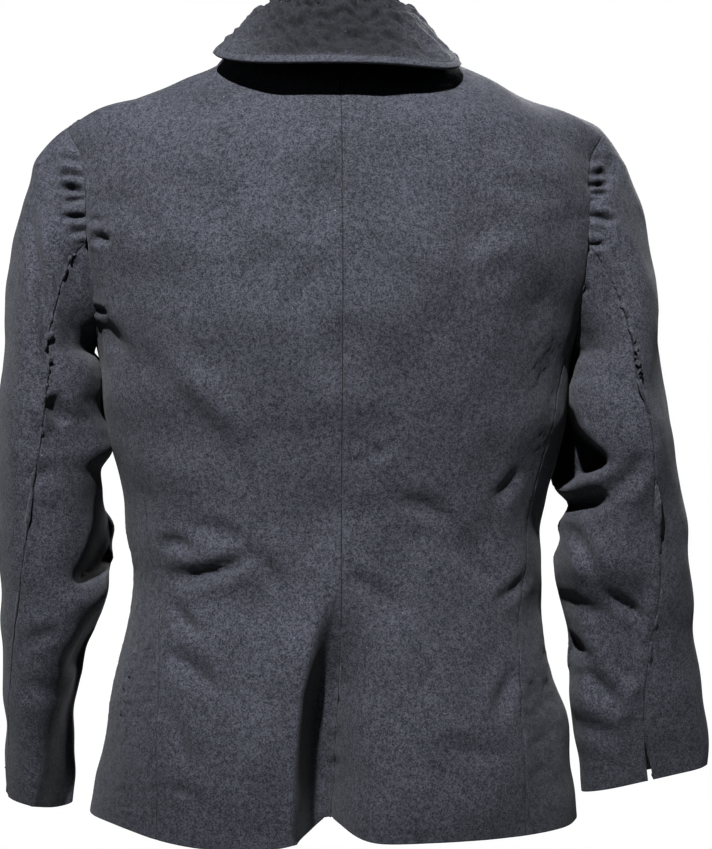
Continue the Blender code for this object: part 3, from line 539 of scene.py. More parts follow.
# %% The back's creases
BACK_CREASES = (
    # path of (x, height), width, depth
    (((0.144, -0.217), (0.103, -0.257), (0.067, -0.296)), 0.009, -0.0022),
    (((0.177, -0.206), (0.169, -0.220), (0.160, -0.234)), 0.006, 0.0028),
    (((0.182, -0.146), (0.175, -0.148), (0.168, -0.152)), 0.0035, 0.0030),
    (((0.184, -0.135), (0.179, -0.135), (0.174, -0.137)), 0.0030, 0.0022),
    (((0.182, -0.199), (0.176, -0.201), (0.171, -0.203)), 0.0028, 0.0030),
    (((0.186, -0.120), (0.160, -0.128), (0.128, -0.150)), 0.010, 0.0016),
    (((0.134, -0.374), (0.120, -0.372), (0.107, -0.377)), 0.0042, 0.0032),
    (((0.128, -0.398), (0.105, -0.395), (0.086, -0.390), (0.064, -0.379)), 0.0055, 0.0050),
    (((0.066, -0.372), (0.054, -0.391), (0.044, -0.405)), 0.0060, 0.0022),
    (((0.112, -0.358), (0.088, -0.363), (0.066, -0.374)), 0.0060, 0.0020),
    (((0.124, -0.416), (0.115, -0.427), (0.104, -0.438)), 0.0045, 0.0030),
    (((0.128, -0.449), (0.108, -0.463), (0.087, -0.481)), 0.0070, 0.0034),
    (((0.125, -0.490), (0.118, -0.510), (0.112, -0.532)), 0.0055, 0.0024),
    (((0.128, -0.548), (0.118, -0.549), (0.106, -0.552)), 0.0040, 0.0014),
    (((0.011, -0.098), (0.013, -0.124), (0.010, -0.148)), 0.0080, 0.0014),
    (((0.025, -0.170), (0.028, -0.195), (0.024, -0.224)), 0.0090, 0.0014),
    (((-0.003, -0.395), (-0.016, -0.401), (-0.031, -0.410), (-0.048, -0.425)), 0.0065, 0.0026),
    (((-0.021, -0.405), (-0.043, -0.440), (-0.072, -0.478)), 0.0080, 0.0026),
    (((-0.033, -0.437), (-0.054, -0.469), (-0.081, -0.502)), 0.0080, 0.0020),
    (((-0.005, -0.295), (-0.017, -0.300), (-0.032, -0.308)), 0.0030, 0.0014),
    (((-0.008, -0.313), (-0.026, -0.306), (-0.043, -0.295)), 0.0030, 0.0014),
    (((-0.047, -0.338), (-0.078, -0.362), (-0.108, -0.386)), 0.0065, 0.0018),
    (((-0.058, -0.361), (-0.086, -0.380), (-0.116, -0.402)), 0.0060, 0.0020),
    (((-0.036, -0.338), (-0.063, -0.345), (-0.088, -0.358)), 0.0055, 0.0014),
    (((-0.090, -0.171), (-0.110, -0.161), (-0.131, -0.148)), 0.0090, -0.0020),
    (((-0.130, -0.464), (-0.121, -0.481), (-0.113, -0.501)), 0.0060, 0.0028),
    (((-0.140, -0.396), (-0.128, -0.408), (-0.113, -0.417)), 0.0045, 0.0022),
    (((-0.112, -0.341), (-0.125, -0.331), (-0.136, -0.317)), 0.0050, 0.0020),
    (((-0.068, -0.511), (-0.092, -0.521), (-0.116, -0.527)), 0.0070, 0.0018),
    (((0.108, -0.064), (0.094, -0.055), (0.078, -0.049)), 0.0070, 0.0026),
    (((-0.170, -0.118), (-0.142, -0.113), (-0.112, -0.109)), 0.0080, 0.0014),
    (((-0.030, -0.150), (-0.052, -0.190), (-0.060, -0.235)), 0.0140, 0.0012),
    (((0.090, -0.120), (0.070, -0.170), (0.055, -0.230)), 0.0150, 0.0012),
)

# %% The folds with one steep flank
BACK_STEPS = (
    # path of (x, height), drop, edge, reach, fade in, fade out
    (((-0.002, -0.399), (0.003, -0.407), (0.009, -0.420), (0.014, -0.437), (0.019, -0.459), (0.024, -0.482),
      (0.027, -0.510), (0.029, -0.539), (0.030, -0.578), (0.030, -0.620)), 0.036, 0.0065, 0.026, 0.45, 0.0),
    (((0.031, -0.438), (0.040, -0.466), (0.046, -0.495), (0.050, -0.523), (0.053, -0.552), (0.056, -0.620)),
     0.007, 0.0140, 0.040, 0.60, 0.0),
)
LEFT_SLEEVE_STEPS = (
    (((0.164, -0.322), (0.173, -0.335), (0.178, -0.350), (0.181, -0.367), (0.187, -0.387), (0.193, -0.400),
      (0.184, -0.398), (0.175, -0.392), (0.158, -0.381)), 0.036, 0.0055, 0.050, 0.10, 0.0),
    (((0.166, -0.408), (0.178, -0.422), (0.189, -0.440), (0.198, -0.455), (0.202, -0.483), (0.207, -0.513),
      (0.213, -0.537), (0.220, -0.565), (0.226, -0.600)), 0.020, 0.0090, 0.060, 0.15, 0.0),
)
RIGHT_SLEEVE_STEPS = (
    (((-0.158, -0.336), (-0.170, -0.334), (-0.183, -0.331), (-0.194, -0.323), (-0.203, -0.316),
      (-0.203, -0.309), (-0.197, -0.300), (-0.191, -0.287), (-0.188, -0.270), (-0.187, -0.252),
      (-0.184, -0.233), (-0.179, -0.213), (-0.170, -0.198)), 0.045, 0.0030, 0.200, 0.0, 0.10),
    (((-0.188, -0.590), (-0.187, -0.550), (-0.185, -0.520), (-0.183, -0.491), (-0.182, -0.453),
      (-0.179, -0.416), (-0.175, -0.386), (-0.172, -0.364), (-0.168, -0.349)),
     0.016, 0.0055, 0.200, 0.0, 0.15),
    (((-0.224, -0.508), (-0.226, -0.468), (-0.231, -0.431), (-0.235, -0.401), (-0.232, -0.372)),
     0.0060, 0.0040, 0.070, 0.30, 0.40),
)

# %% [markdown]
# ### The creases of the sleeves, and the gathers at their heads
# A hanging arm that bends a little throws a deep fold into the elbow's inner side and lighter ones below it.
# The sleeve's head is cut wider than the armhole, and the extra is gathered in, most on the back: short,
# hard troughs that start at the seam and fade within 2 cm.

# %% The sleeves' creases
LEFT_SLEEVE_CREASES = (
    (((0.212, -0.108), (0.202, -0.110), (0.190, -0.113)), 0.0030, 0.0042),
    (((0.203, -0.120), (0.197, -0.119), (0.189, -0.118)), 0.0022, 0.0026),
    (((0.206, -0.132), (0.196, -0.132), (0.185, -0.132)), 0.0024, 0.0038),
    (((0.209, -0.099), (0.200, -0.100), (0.190, -0.101)), 0.0026, 0.0024),
    (((0.209, -0.087), (0.201, -0.088), (0.190, -0.091)), 0.0026, 0.0022),
    (((0.200, -0.144), (0.193, -0.143), (0.184, -0.142)), 0.0024, 0.0018),
    (((0.215, -0.080), (0.213, -0.095), (0.209, -0.110)), 0.0060, 0.0024),
    (((0.231, -0.122), (0.226, -0.152), (0.221, -0.184), (0.216, -0.217), (0.213, -0.252)), 0.0042, 0.0030),
    (((0.214, -0.264), (0.209, -0.274), (0.203, -0.285)), 0.0050, 0.0052),
    (((0.158, -0.395), (0.180, -0.412), (0.204, -0.420)), 0.0100, -0.0040),
    (((0.172, -0.436), (0.187, -0.457), (0.196, -0.474)), 0.0090, 0.0045),
    (((0.232, -0.447), (0.219, -0.441), (0.208, -0.437)), 0.0050, 0.0020),
    (((0.239, -0.483), (0.220, -0.483), (0.204, -0.492)), 0.0070, 0.0018),
    (((0.230, -0.330), (0.218, -0.322), (0.205, -0.320)), 0.0060, 0.0018),
    (((0.236, -0.180), (0.243, -0.230), (0.244, -0.290)), 0.0100, 0.0016),
)
RIGHT_SLEEVE_CREASES = (
    (((-0.184, -0.106), (-0.195, -0.105), (-0.206, -0.104)), 0.0026, 0.0044),
    (((-0.184, -0.112), (-0.194, -0.112), (-0.203, -0.111)), 0.0020, 0.0030),
    (((-0.184, -0.118), (-0.191, -0.117), (-0.198, -0.116)), 0.0020, 0.0022),
    (((-0.183, -0.129), (-0.195, -0.130), (-0.206, -0.134)), 0.0028, 0.0042),
    (((-0.183, -0.150), (-0.191, -0.150), (-0.198, -0.151)), 0.0026, 0.0026),
    (((-0.178, -0.181), (-0.184, -0.182), (-0.190, -0.185)), 0.0024, 0.0030),
    (((-0.190, -0.098), (-0.196, -0.096), (-0.204, -0.092)), 0.0028, 0.0018),
    (((-0.208, -0.080), (-0.207, -0.092), (-0.200, -0.103)), 0.0055, 0.0028),
    (((-0.188, -0.086), (-0.195, -0.086), (-0.203, -0.082)), 0.0030, 0.0016),
    (((-0.210, -0.318), (-0.196, -0.332), (-0.183, -0.338), (-0.166, -0.340)), 0.0055, -0.0030),
    (((-0.203, -0.335), (-0.188, -0.343), (-0.172, -0.346)), 0.0070, 0.0040),
    (((-0.172, -0.358), (-0.186, -0.380), (-0.196, -0.401)), 0.0050, 0.0034),
    (((-0.203, -0.412), (-0.218, -0.422), (-0.234, -0.434)), 0.0040, 0.0030),
    (((-0.172, -0.447), (-0.183, -0.457), (-0.194, -0.468)), 0.0050, 0.0032),
    (((-0.186, -0.472), (-0.203, -0.489), (-0.222, -0.505)), 0.0070, 0.0036),
    (((-0.172, -0.414), (-0.188, -0.425), (-0.202, -0.430)), 0.0055, 0.0022),
    (((-0.227, -0.306), (-0.219, -0.325), (-0.205, -0.337)), 0.0060, 0.0026),
    (((-0.228, -0.480), (-0.222, -0.495), (-0.224, -0.512)), 0.0050, -0.0026),
    (((-0.176, -0.513), (-0.203, -0.522), (-0.224, -0.523)), 0.0070, 0.0016),
    (((-0.250, -0.200), (-0.246, -0.240), (-0.238, -0.280)), 0.0100, 0.0016),
)

# %% [markdown]
# ### The hidden sides
# The front isn't in the picture, so its creases are only alike in kind: strain lines that fan out from the
# button, softer ones over the bust and hip, and gathers at the front of the sleeves' heads.

# %% The front's creases
FRONT_CREASES = [
    # path of (x, height), width, depth
    (((0.020, -0.372), (0.055, -0.362), (0.095, -0.350)), 0.0060, 0.0028),
    (((0.022, -0.378), (0.060, -0.384), (0.104, -0.384)), 0.0050, 0.0022),
    (((0.018, -0.386), (0.050, -0.412), (0.080, -0.446)), 0.0070, 0.0026),
    (((-0.020, -0.371), (-0.052, -0.366), (-0.100, -0.346)), 0.0060, 0.0026),
    (((-0.022, -0.380), (-0.066, -0.386), (-0.108, -0.378)), 0.0055, 0.0022),
    (((-0.016, -0.388), (-0.046, -0.420), (-0.078, -0.452)), 0.0070, 0.0024),
    (((0.118, -0.398), (0.134, -0.392), (0.150, -0.380)), 0.0045, 0.0024),
    (((-0.116, -0.402), (-0.136, -0.394), (-0.152, -0.384)), 0.0045, 0.0024),
    (((0.110, -0.470), (0.098, -0.510), (0.094, -0.560)), 0.0120, 0.0030),
    (((-0.104, -0.460), (-0.112, -0.512), (-0.108, -0.566)), 0.0120, 0.0030),
    (((0.168, -0.150), (0.150, -0.170), (0.126, -0.182)), 0.0080, 0.0020),
    (((-0.170, -0.142), (-0.150, -0.166), (-0.122, -0.180)), 0.0080, 0.0020),
    (((0.140, -0.290), (0.128, -0.320), (0.120, -0.352)), 0.0090, 0.0020),
    (((-0.138, -0.286), (-0.126, -0.318), (-0.122, -0.350)), 0.0090, 0.0020),
]
FRONT_GATHERS = (
    # height, reach, depth
    (-0.082, 0.016, 0.0020),
    (-0.093, 0.020, 0.0030),
    (-0.106, 0.017, 0.0034),
    (-0.119, 0.021, 0.0026),
    (-0.133, 0.016, 0.0030),
    (-0.150, 0.014, 0.0020),
)
FRONT_ELBOW_CREASES = (
    # path of (x outwards, height), width, depth
    (((0.170, -0.340), (0.190, -0.356), (0.216, -0.372)), 0.0080, 0.0060),
    (((0.168, -0.372), (0.194, -0.380), (0.222, -0.378)), 0.0070, 0.0044),
    (((0.172, -0.402), (0.196, -0.398), (0.226, -0.388)), 0.0080, 0.0036),
    (((0.184, -0.450), (0.206, -0.462), (0.230, -0.460)), 0.0070, 0.0022),
    (((0.178, -0.250), (0.196, -0.270), (0.206, -0.296)), 0.0080, 0.0026),
)
GATHER_WIDTH = 0.0027
HEAD_SEAM_X = 0.190
HEAD_SEAM_TOP = -0.08
HEAD_SEAM_BEND = 1.2
for side in (1, -1):
    for height, reach, depth in FRONT_GATHERS:
        start = HEAD_SEAM_X - (height - HEAD_SEAM_TOP) ** 2 * HEAD_SEAM_BEND
        path = (
            (side * (start - 0.004), height),
            (side * (start + reach / 2), height + 0.001 * side),
            (side * (start + reach), height + 0.003),
        )
        FRONT_CREASES.append((path, GATHER_WIDTH, depth))
    for path, width, depth in FRONT_ELBOW_CREASES:
        FRONT_CREASES.append((tuple((side * x, z) for x, z in path), width, depth))
print("creases", len(BACK_CREASES), len(LEFT_SLEEVE_CREASES), len(RIGHT_SLEEVE_CREASES), len(FRONT_CREASES))

# %% [markdown]
# ### Puckers and settling
# Where fused cloth has shrunk, or a seam has been stitched under strain, the surface puckers. Some regions
# get small ripples of their own, most on the left side panel, and some stretches of seam pull harder than the
# rest. Settling shifts a whole region softly, such as a cuff, the hem or the collar's lower edge.

# %% Regions that pucker, pull or settle
PUCKER_REGIONS = (
    # middle, reach, ripple size, height, stretch of the ripples along x, y and height
    ((0.150, 0.060, -0.475), (0.016, 0.060, 0.040), 0.0065, 0.00120, (1.6, 1.6, 0.8)),
    ((0.152, 0.060, -0.400), (0.016, 0.060, 0.045), 0.0050, 0.00045, (1.0, 1.0, 1.0)),
    ((0.150, 0.060, -0.545), (0.020, 0.060, 0.030), 0.0080, 0.00055, (1.8, 1.8, 0.8)),
    ((-0.150, 0.060, -0.500), (0.016, 0.060, 0.050), 0.0075, 0.00055, (1.6, 1.6, 0.8)),
    ((-0.150, 0.060, -0.250), (0.012, 0.060, 0.060), 0.0060, 0.00035, (1.0, 1.0, 1.0)),
)
SEAM_PULLS = (
    # middle, reach, how much harder the seam pulls there
    ((0.004, 0.110, -0.530), (0.020, 0.060, 0.060), 3.0),
    ((0.125, 0.070, -0.400), (0.030, 0.060, 0.040), 1.6),
    ((-0.120, 0.080, -0.400), (0.030, 0.060, 0.050), 1.0),
    ((-0.225, 0.030, -0.300), (0.030, 0.060, 0.070), 0.8),
    ((0.215, 0.040, -0.270), (0.030, 0.060, 0.060), 0.8),
    ((0.190, 0.050, -0.120), (0.030, 0.040, 0.050), 1.2),
    ((-0.190, 0.050, -0.120), (0.030, 0.040, 0.050), 1.2),
)
SETTLING = (
    # middle, reach, shift
    ((0.000, 0.080, -0.065), (0.110, 0.070, 0.050), (0.0, 0.0100, 0.0)),
    ((0.235, 0.000, -0.640), (0.060, 0.120, 0.150), (0.0, -0.0120, 0.0)),
    ((-0.240, 0.000, -0.640), (0.060, 0.120, 0.170), (0.0, -0.0140, 0.0)),
    ((0.000, 0.140, -0.640), (0.400, 0.120, 0.070), (0.0, -0.0120, 0.0)),
    ((0.178, 0.040, -0.596), (0.036, 0.140, 0.034), (0.0, 0.0, 0.0075)),
)
COLLAR_SETTLING = (
    # middle, reach, shift
    ((0.000, 0.095, -0.034), (0.100, 0.034, 0.024), (0.0, 0.0180, 0.0)),
    ((0.085, 0.050, -0.010), (0.030, 0.060, 0.030), (0.0065, 0.0, 0.0)),
    ((-0.082, 0.050, -0.010), (0.034, 0.060, 0.030), (-0.0045, 0.0, -0.0065)),
)
SEAM_DEPTH = 0.0006
SEAM_DIP = 0.00026
SEAM_DIP_WIDTH = 0.0045
SEAM_RIPPLE = 0.0105
SEAM_UNEVENNESS = 0.9
UNEVEN_LIMITS = (-0.5, 3)
HANDLING = (
    # ripple size, height
    (0.075, 0.0011),
    (0.030, 0.00030),
)


def seam_gap(node, places):
    """Each place's nearest sewn edge point, and its distance to it."""
    line = np.array([meeting for meeting, _, _ in sewn[node].values()])
    tree = tree_of(line)
    found = [tree.find(place) for place in places]
    return line[[index for _, index, _ in found]], np.array([distance for _, _, distance in found])


def seam_sink(nearest, gap):
    """How far the seams sink each place: the groove itself, and an uneven dip beside it."""
    pull = np.ones(len(gap))
    for middle, reach, harder in SEAM_PULLS:
        pull += harder * ball(nearest, middle, reach)
    uneven = np.clip(1 + SEAM_UNEVENNESS * ripples(nearest, SEAM_RIPPLE, seed=5), *UNEVEN_LIMITS)
    groove = SEAM_DEPTH * np.clip(1 - gap / STRIP, 0, 1)
    return groove + SEAM_DIP * pull * uneven * np.exp(-((gap / SEAM_DIP_WIDTH) ** 2))


# %% [markdown]
# ### The collar's blisters
# The fall of the collar is fused to a stiffener, which has let go in places. The cloth stands off there in
# blisters that run along the bias. A ripple pressed through tanh gets the flat tops and narrow valleys they
# have. The topstitched band at the edge stays smooth.

# %% Blisters
BIAS = math.radians(-34)
BLISTERS = (
    # size, seed, stretch along the bias, across the cloth and up, height
    (0.0095, 31, (3.0, 1.4, 0.80), 0.0036),
    (0.0055, 32, (2.4, 1.2, 0.85), 0.0018),
)
BLISTER_SHARPNESS = 1.2
BLISTERS_FROM = (0.0070, 0.0095)
LEAST_BLISTER = 0.15


def collar_blisters(places, distance, middle):
    """How high each place stands, from its distance to the collar's edge and its share of the middle."""
    turned = places @ np.array(Matrix.Rotation(BIAS, 3, "Y"))
    height = np.zeros(len(places))
    for size, seed, stretch, tall in BLISTERS:
        height += tall * np.tanh(BLISTER_SHARPNESS * ripples(turned, size, seed, stretch))
    return height * soft_step(distance, *BLISTERS_FROM) * (LEAST_BLISTER + (1 - LEAST_BLISTER) * middle)


# %% [markdown]
# ## Working out every move
# Now every skin is worked on in turn: creased, puckered and folded. Nothing moves yet. Each place's move is
# only noted, because a seam's two sides have to agree first. Two numbers are kept on every point for the
# cloth's material: its distance to the nearest seam, and a painted shade that darkens the middle of the
# collar's fall and leaves all other cloth as it is.

# %% Helpers for the moves
HIND_SIDE = (-0.030, 0.004)


def free_edge_distance(node, places):
    """Each place's distance to the part of the rim that isn't sewn."""
    joined = set(sewn[node]) | set(folded[node])
    tree = tree_of(fine_steps(places, [line for line in rims[node][1] if not joined.intersection(line)])[0])
    return np.array([tree.find(place)[2] for place in places])


def keep_number(skin, name, values):
    made = skin.data.attributes.new(name, "FLOAT", "POINT")
    made.data.foreach_set("value", values)


def stepped(places, steps):
    """The folds' push is straight away from the camera, which leaves the garment's outline as it is."""
    amount = sum(step_depth(places, *step) for step in steps) * soft_step(places[:, 1], *HIND_SIDE)
    sight = places - np.array(camera.location)
    return sight / np.linalg.norm(sight, axis=1)[:, None] * amount[:, None]


# %% Every skin's moves
STITCH_LINE = 0.0064
STITCH_PULL = 0.0006
STITCH_PULL_WIDTH = 0.0012
BAND_ROLL = 0.0008
BAND_ROLL_WIDTH = 0.0014
# Painted shade: the middle of the collar's fall keeps 30 per cent of its colour, starting this far from its
# edge.
COLLAR_PAINTED_SHADE = 0.30
COLLAR_PAINTED_SHADE_FROM = (0.0055, 0.0085)
COLLAR_BACK_FROM = -0.005
COLLAR_BACK_RANGE = 0.03
COLLAR_MIDDLE_X = 0.004
COLLAR_MIDDLE_REACH = 0.066
PUCKER_SEED = 71
PUCKER_CORE = 1.4

moves = {}
meant = {}
free_edges = {}
for node, skin in skins.items():
    places, normals = points_of(skin)
    for kept in (folded[node], sewn[node]):
        for index, (meeting, _, _) in kept.items():
            places[index] = meeting
    nearest, gap = seam_gap(node, places)
    sink = seam_sink(nearest, gap)
    painted_shade = np.ones(len(places))
    push = np.zeros_like(places)
    sleeve = "sleeve" in node
    if sleeve:
        left = node.endswith("left")
        sink += pressed(places, normals, 1, LEFT_SLEEVE_CREASES if left else RIGHT_SLEEVE_CREASES)
        push += stepped(places, LEFT_SLEEVE_STEPS if left else RIGHT_SLEEVE_STEPS)
    elif node != "collar":
        sink += pressed(places, normals, 1, BACK_CREASES)
        for middle, reach, size, tall, stretch in PUCKER_REGIONS:
            inside = np.clip(ball(places, middle, reach) * PUCKER_CORE, 0, 1)
            sink -= tall * ripples(places, size, PUCKER_SEED, stretch) * inside
    if node.startswith("back"):
        push += stepped(places, BACK_STEPS)
    if sleeve or node.startswith("front"):
        sink += pressed(places, normals, -1, FRONT_CREASES)
    if node == "collar" or node.startswith("lapel"):
        free_edges[node] = free_edge_distance(node, places)
        sink += STITCH_PULL * np.exp(-(((free_edges[node] - STITCH_LINE) / STITCH_PULL_WIDTH) ** 2))
        sink += BAND_ROLL * np.exp(-((free_edges[node] / BAND_ROLL_WIDTH) ** 2))
    if node == "collar":
        behind = np.clip((places[:, 1] - COLLAR_BACK_FROM) / COLLAR_BACK_RANGE, 0, 1)
        middle = np.exp(-(((places[:, 0] - COLLAR_MIDDLE_X) / COLLAR_MIDDLE_REACH) ** 4)) * behind
        sink -= collar_blisters(places, free_edges[node], middle)
        # Painted shade: the back of the collar's middle, clear of its edge band, is darkened here.
        painted_shade -= (1 - COLLAR_PAINTED_SHADE) * middle * soft_step(free_edges[node], *COLLAR_PAINTED_SHADE_FROM)
    else:
        for size, tall in HANDLING:
            sink += tall * ripples(places, size, round(size * 1e4))
    moves[node] = push - normals * sink[:, None]
    meant[node] = places
    keep_number(skin, "seam_gap", gap)
    keep_number(skin, "painted_shade", painted_shade)
    print(node, "moves up to", round(float(np.linalg.norm(moves[node], axis=1).max()) * 1000, 1), "mm")

# %% [markdown]
# ## Closing the seams and moving the cloth
# Two cloths that meet in a seam have to move as one, or the seam opens. So a sewn edge takes the mean of its
# own move and its neighbour's. The cloth beside the edge takes the same correction, less and less over 12 mm,
# and the closing of the gap is spread in the same way. The settling comes last.

# %% Close the seams, then move every skin
SEAM_SPREAD = 0.012
SPREAD_LIMIT = 2.5 * SEAM_SPREAD
SEAM_NEIGHBOURS = 4

for node, skin in skins.items():
    joined = folded[node] | sewn[node]
    indices = np.array(list(joined))
    shared = []
    for i, (_, partner, (first, last, share)) in joined.items():
        neighbour = moves[partner][first] * (1 - share) + moves[partner][last] * share
        shared.append((neighbour - moves[node][i]) / 2)
    shared = np.array(shared)
    before = points_of(skin)[0]
    closing = meant[node][indices] - before[indices]
    tree = tree_of(before[indices])
    move = moves[node].copy()
    for i, place in enumerate(meant[node]):
        found = tree.find_n(place, SEAM_NEIGHBOURS)
        if found[0][2] < SPREAD_LIMIT:
            weights = np.array([1 / (gap**2 + STRIP**2) for _, _, gap in found])
            nearby = (shared + closing)[[near for _, near, _ in found]]
            move[i] += weights @ nearby / weights.sum() * math.exp(-((found[0][2] / SEAM_SPREAD) ** 2))
    move[indices] = moves[node][indices] + shared
    places = meant[node] + move
    for middle, reach, shift in SETTLING + (COLLAR_SETTLING if node == "collar" else ()):
        places += ball(places, middle, reach)[:, None] * np.array(shift)
    move_to(skin, places)

# %% [markdown]
# The sleeves hang against the body, and no light comes through between them. So each one leans inwards, at
# every height by just the gap that is left there, and less and less towards its outer side.

# %% Lean the sleeves on the body
LEANS = (
    # side, highest and lowest place where the sleeve's inner side rests on the body
    ("left", -0.200, -0.300),
    ("right", -0.200, -0.326),
)
LEAN_FADE = 0.022
LEAN_REACH = 0.024
LEAN_SLICE = 0.004
MOST_LEAN = 0.013
PRESS = 0.0018
LEAN_DEPTHS = np.arange(-0.032, 0.024, LEAN_SLICE)


def gap_at(body, arm, height):
    """The narrowest gap between body and arm in a thin slice. Both are given with x outwards."""
    here = [cloth[np.abs(cloth[:, 2] - height) < LEAN_SLICE] for cloth in (body, arm)]
    gaps = []
    for depth in LEAN_DEPTHS:
        inner, outer = (cloth[np.abs(cloth[:, 1] - depth) < LEAN_SLICE, 0] for cloth in here)
        if len(inner) and len(outer):
            gaps.append(outer.min() - inner.max())
    return float(np.clip(min(gaps, default=0) + PRESS, 0, MOST_LEAN))


for side, top, bottom in LEANS:
    outwards = np.array([1 if side == "left" else -1, 1, 1])
    sleeves = [skins[f"{part}_{side}"] for part in ("upper_sleeve", "under_sleeve")]
    body = np.vstack([points_of(skins[f"{part}_{side}"])[0] for part in ("back", "side", "front")]) * outwards
    arm = np.vstack([points_of(skin)[0] for skin in sleeves]) * outwards
    heights = np.arange(bottom - LEAN_FADE, top + LEAN_FADE, LEAN_SLICE)
    gaps = np.array([gap_at(body, arm, height) for height in heights])
    fade = soft_step(heights, bottom - LEAN_FADE, bottom) * (1 - soft_step(heights, top, top + LEAN_FADE))
    inner = np.array([arm[np.abs(arm[:, 2] - height) < LEAN_SLICE, 0].min() for height in heights])
    for skin in sleeves:
        places = points_of(skin)[0] * outwards
        beyond = places[:, 0] - np.interp(places[:, 2], heights, inner)
        lean = np.interp(places[:, 2], heights, gaps * fade, left=0, right=0)
        places[:, 0] -= lean * np.exp(-((beyond / LEAN_REACH) ** 2))
        move_to(skin, places * outwards)
    print(side, "sleeve leans by", round(float((gaps * fade).max()) * 1000, 1), "mm at most")

# %% [markdown]
# ## The suiting
# The real cloth is a fine plain weave of dark navy yarn with paler fibres spun in, which reads as grey from
# afar, with a few specks of lint. Colour comes from three noises: fine fibres, blotches a few millimetres
# wide, and a slow unevenness. A dark line runs along each seam, lighter between its stitches. The weave
# itself is a fine bump on the unwrapped pattern, so it follows each cut piece.

# %% The suiting's material
YARN_PITCH = 0.0007
WAVE_SCALE = 0.318
SEAM_LINE = 0.00042
STITCH_PITCH = 0.0042
FIBRE_SCALE = 820.0
BLOTCH_SCALE = 260.0
FIBRE_SHARE = 0.72
HEATHER = (0.39, 0.61)
UNEVEN_SCALE = 13.0
LINT_SCALE = 75.0
LINT_SIZE = 0.030
LINT_COLOUR = (0.10, 0.10, 0.11)
FUZZ = 1.6
WEAVE_HEIGHT = 0.00022


def node_in(tree, kind, inputs=(), **settings):
    """Adds a shader node. An input is named or numbered, and is given a value or another node's output."""
    made = tree.nodes.new("ShaderNode" + kind)
    for key, value in settings.items():
        setattr(made, key, value)
    for key, value in inputs:
        if isinstance(value, bpy.types.NodeSocket):
            tree.links.new(value, made.inputs[key])
        else:
            made.inputs[key].default_value = value
    return made


def maths(tree, operation, *values):
    return node_in(tree, "Math", enumerate(values), operation=operation).outputs[0]


def between(tree, value, low, high, to_low, to_high):
    limits = zip(("From Min", "From Max", "To Min", "To Max"), (low, high, to_low, to_high))
    return node_in(tree, "MapRange", [("Value", value), *limits]).outputs["Result"]


def suiting(name, dark, pale):
    paint = bpy.data.materials.new(name)
    paint.use_nodes = True
    tree = paint.node_tree
    shader = tree.nodes["Principled BSDF"]
    spot = tree.nodes.new("ShaderNodeTexCoord")
    seam = node_in(tree, "Attribute", attribute_name="seam_gap").outputs["Fac"]
    # This attribute carries the painted shade on the middle of the collar's fall.
    painted_shade = node_in(tree, "Attribute", attribute_name="painted_shade").outputs["Fac"]

    def noise(scale, detail, where="Object"):
        wanted = [("Vector", spot.outputs[where]), ("Scale", scale), ("Detail", detail), ("Roughness", 0.7)]
        return node_in(tree, "TexNoise", wanted).outputs["Fac"]

    fibres = maths(tree, "MULTIPLY", noise(FIBRE_SCALE, 3.0), FIBRE_SHARE)
    blotches = maths(tree, "MULTIPLY", noise(BLOTCH_SCALE, 2.0), 1 - FIBRE_SHARE)
    heather = maths(tree, "ADD", fibres, blotches)
    share = between(tree, heather, *HEATHER, 0.0, 1.0)
    slow = between(tree, noise(UNEVEN_SCALE, 3.0), 0.3, 0.7, 0.88, 1.12)
    colour = node_in(tree, "Mix", [("Factor", share)], data_type="RGBA")
    colour.inputs["A"].default_value = (*dark, 1)
    colour.inputs["B"].default_value = (*pale, 1)

    height = node_in(tree, "SeparateXYZ", [("Vector", spot.outputs["Object"])]).outputs["Z"]
    beat = maths(tree, "SINE", maths(tree, "MULTIPLY", height, 2 * math.pi / STITCH_PITCH))
    on_line = maths(tree, "LESS_THAN", seam, SEAM_LINE)
    line_tone = between(tree, beat, -0.2, 0.4, 0.80, 0.25)
    lost = maths(tree, "MULTIPLY", on_line, maths(tree, "SUBTRACT", 1.0, line_tone))
    line = maths(tree, "SUBTRACT", 1.0, lost)
    # The painted shade of the collar multiplies the colour here, together with the slow unevenness and the
    # seam line.
    light = maths(tree, "MULTIPLY", maths(tree, "MULTIPLY", painted_shade, slow), line)
    toned = node_in(tree, "VectorMath", [(0, colour.outputs["Result"]), ("Scale", light)], operation="SCALE")

    wanted = [("Vector", spot.outputs["Object"]), ("Scale", LINT_SCALE)]
    lint = maths(tree, "LESS_THAN", node_in(tree, "TexVoronoi", wanted).outputs["Distance"], LINT_SIZE)
    speckled = node_in(tree, "Mix", [("Factor", lint), ("A", toned.outputs["Vector"])], data_type="RGBA")
    speckled.inputs["B"].default_value = (*LINT_COLOUR, 1)
    tree.links.new(speckled.outputs["Result"], shader.inputs["Base Color"])

    def yarns(direction):
        wanted = [("Vector", spot.outputs["UV"]), ("Scale", WAVE_SCALE / YARN_PITCH), ("Distortion", 1.0)]
        return node_in(tree, "TexWave", wanted, bands_direction=direction).outputs["Fac"]

    weave = maths(tree, "MULTIPLY", yarns("X"), yarns("Y"))
    relief = maths(tree, "ADD", weave, maths(tree, "MULTIPLY", heather, FUZZ))
    bump = node_in(tree, "Bump", [("Strength", 0.6), ("Distance", WEAVE_HEIGHT), ("Height", relief)])
    tree.links.new(bump.outputs["Normal"], shader.inputs["Normal"])
    shader.inputs["Roughness"].default_value = 0.88
    shader.inputs["Specular IOR Level"].default_value = 0.20
    shader.inputs["Sheen Weight"].default_value = 0.04
    shader.inputs["Sheen Roughness"].default_value = 0.5
    return paint


cloth_paint = suiting("suiting", dark=(0.0065, 0.0072, 0.0105), pale=(0.0400, 0.0415, 0.0510))
print("suiting has", len(cloth_paint.node_tree.nodes), "nodes")

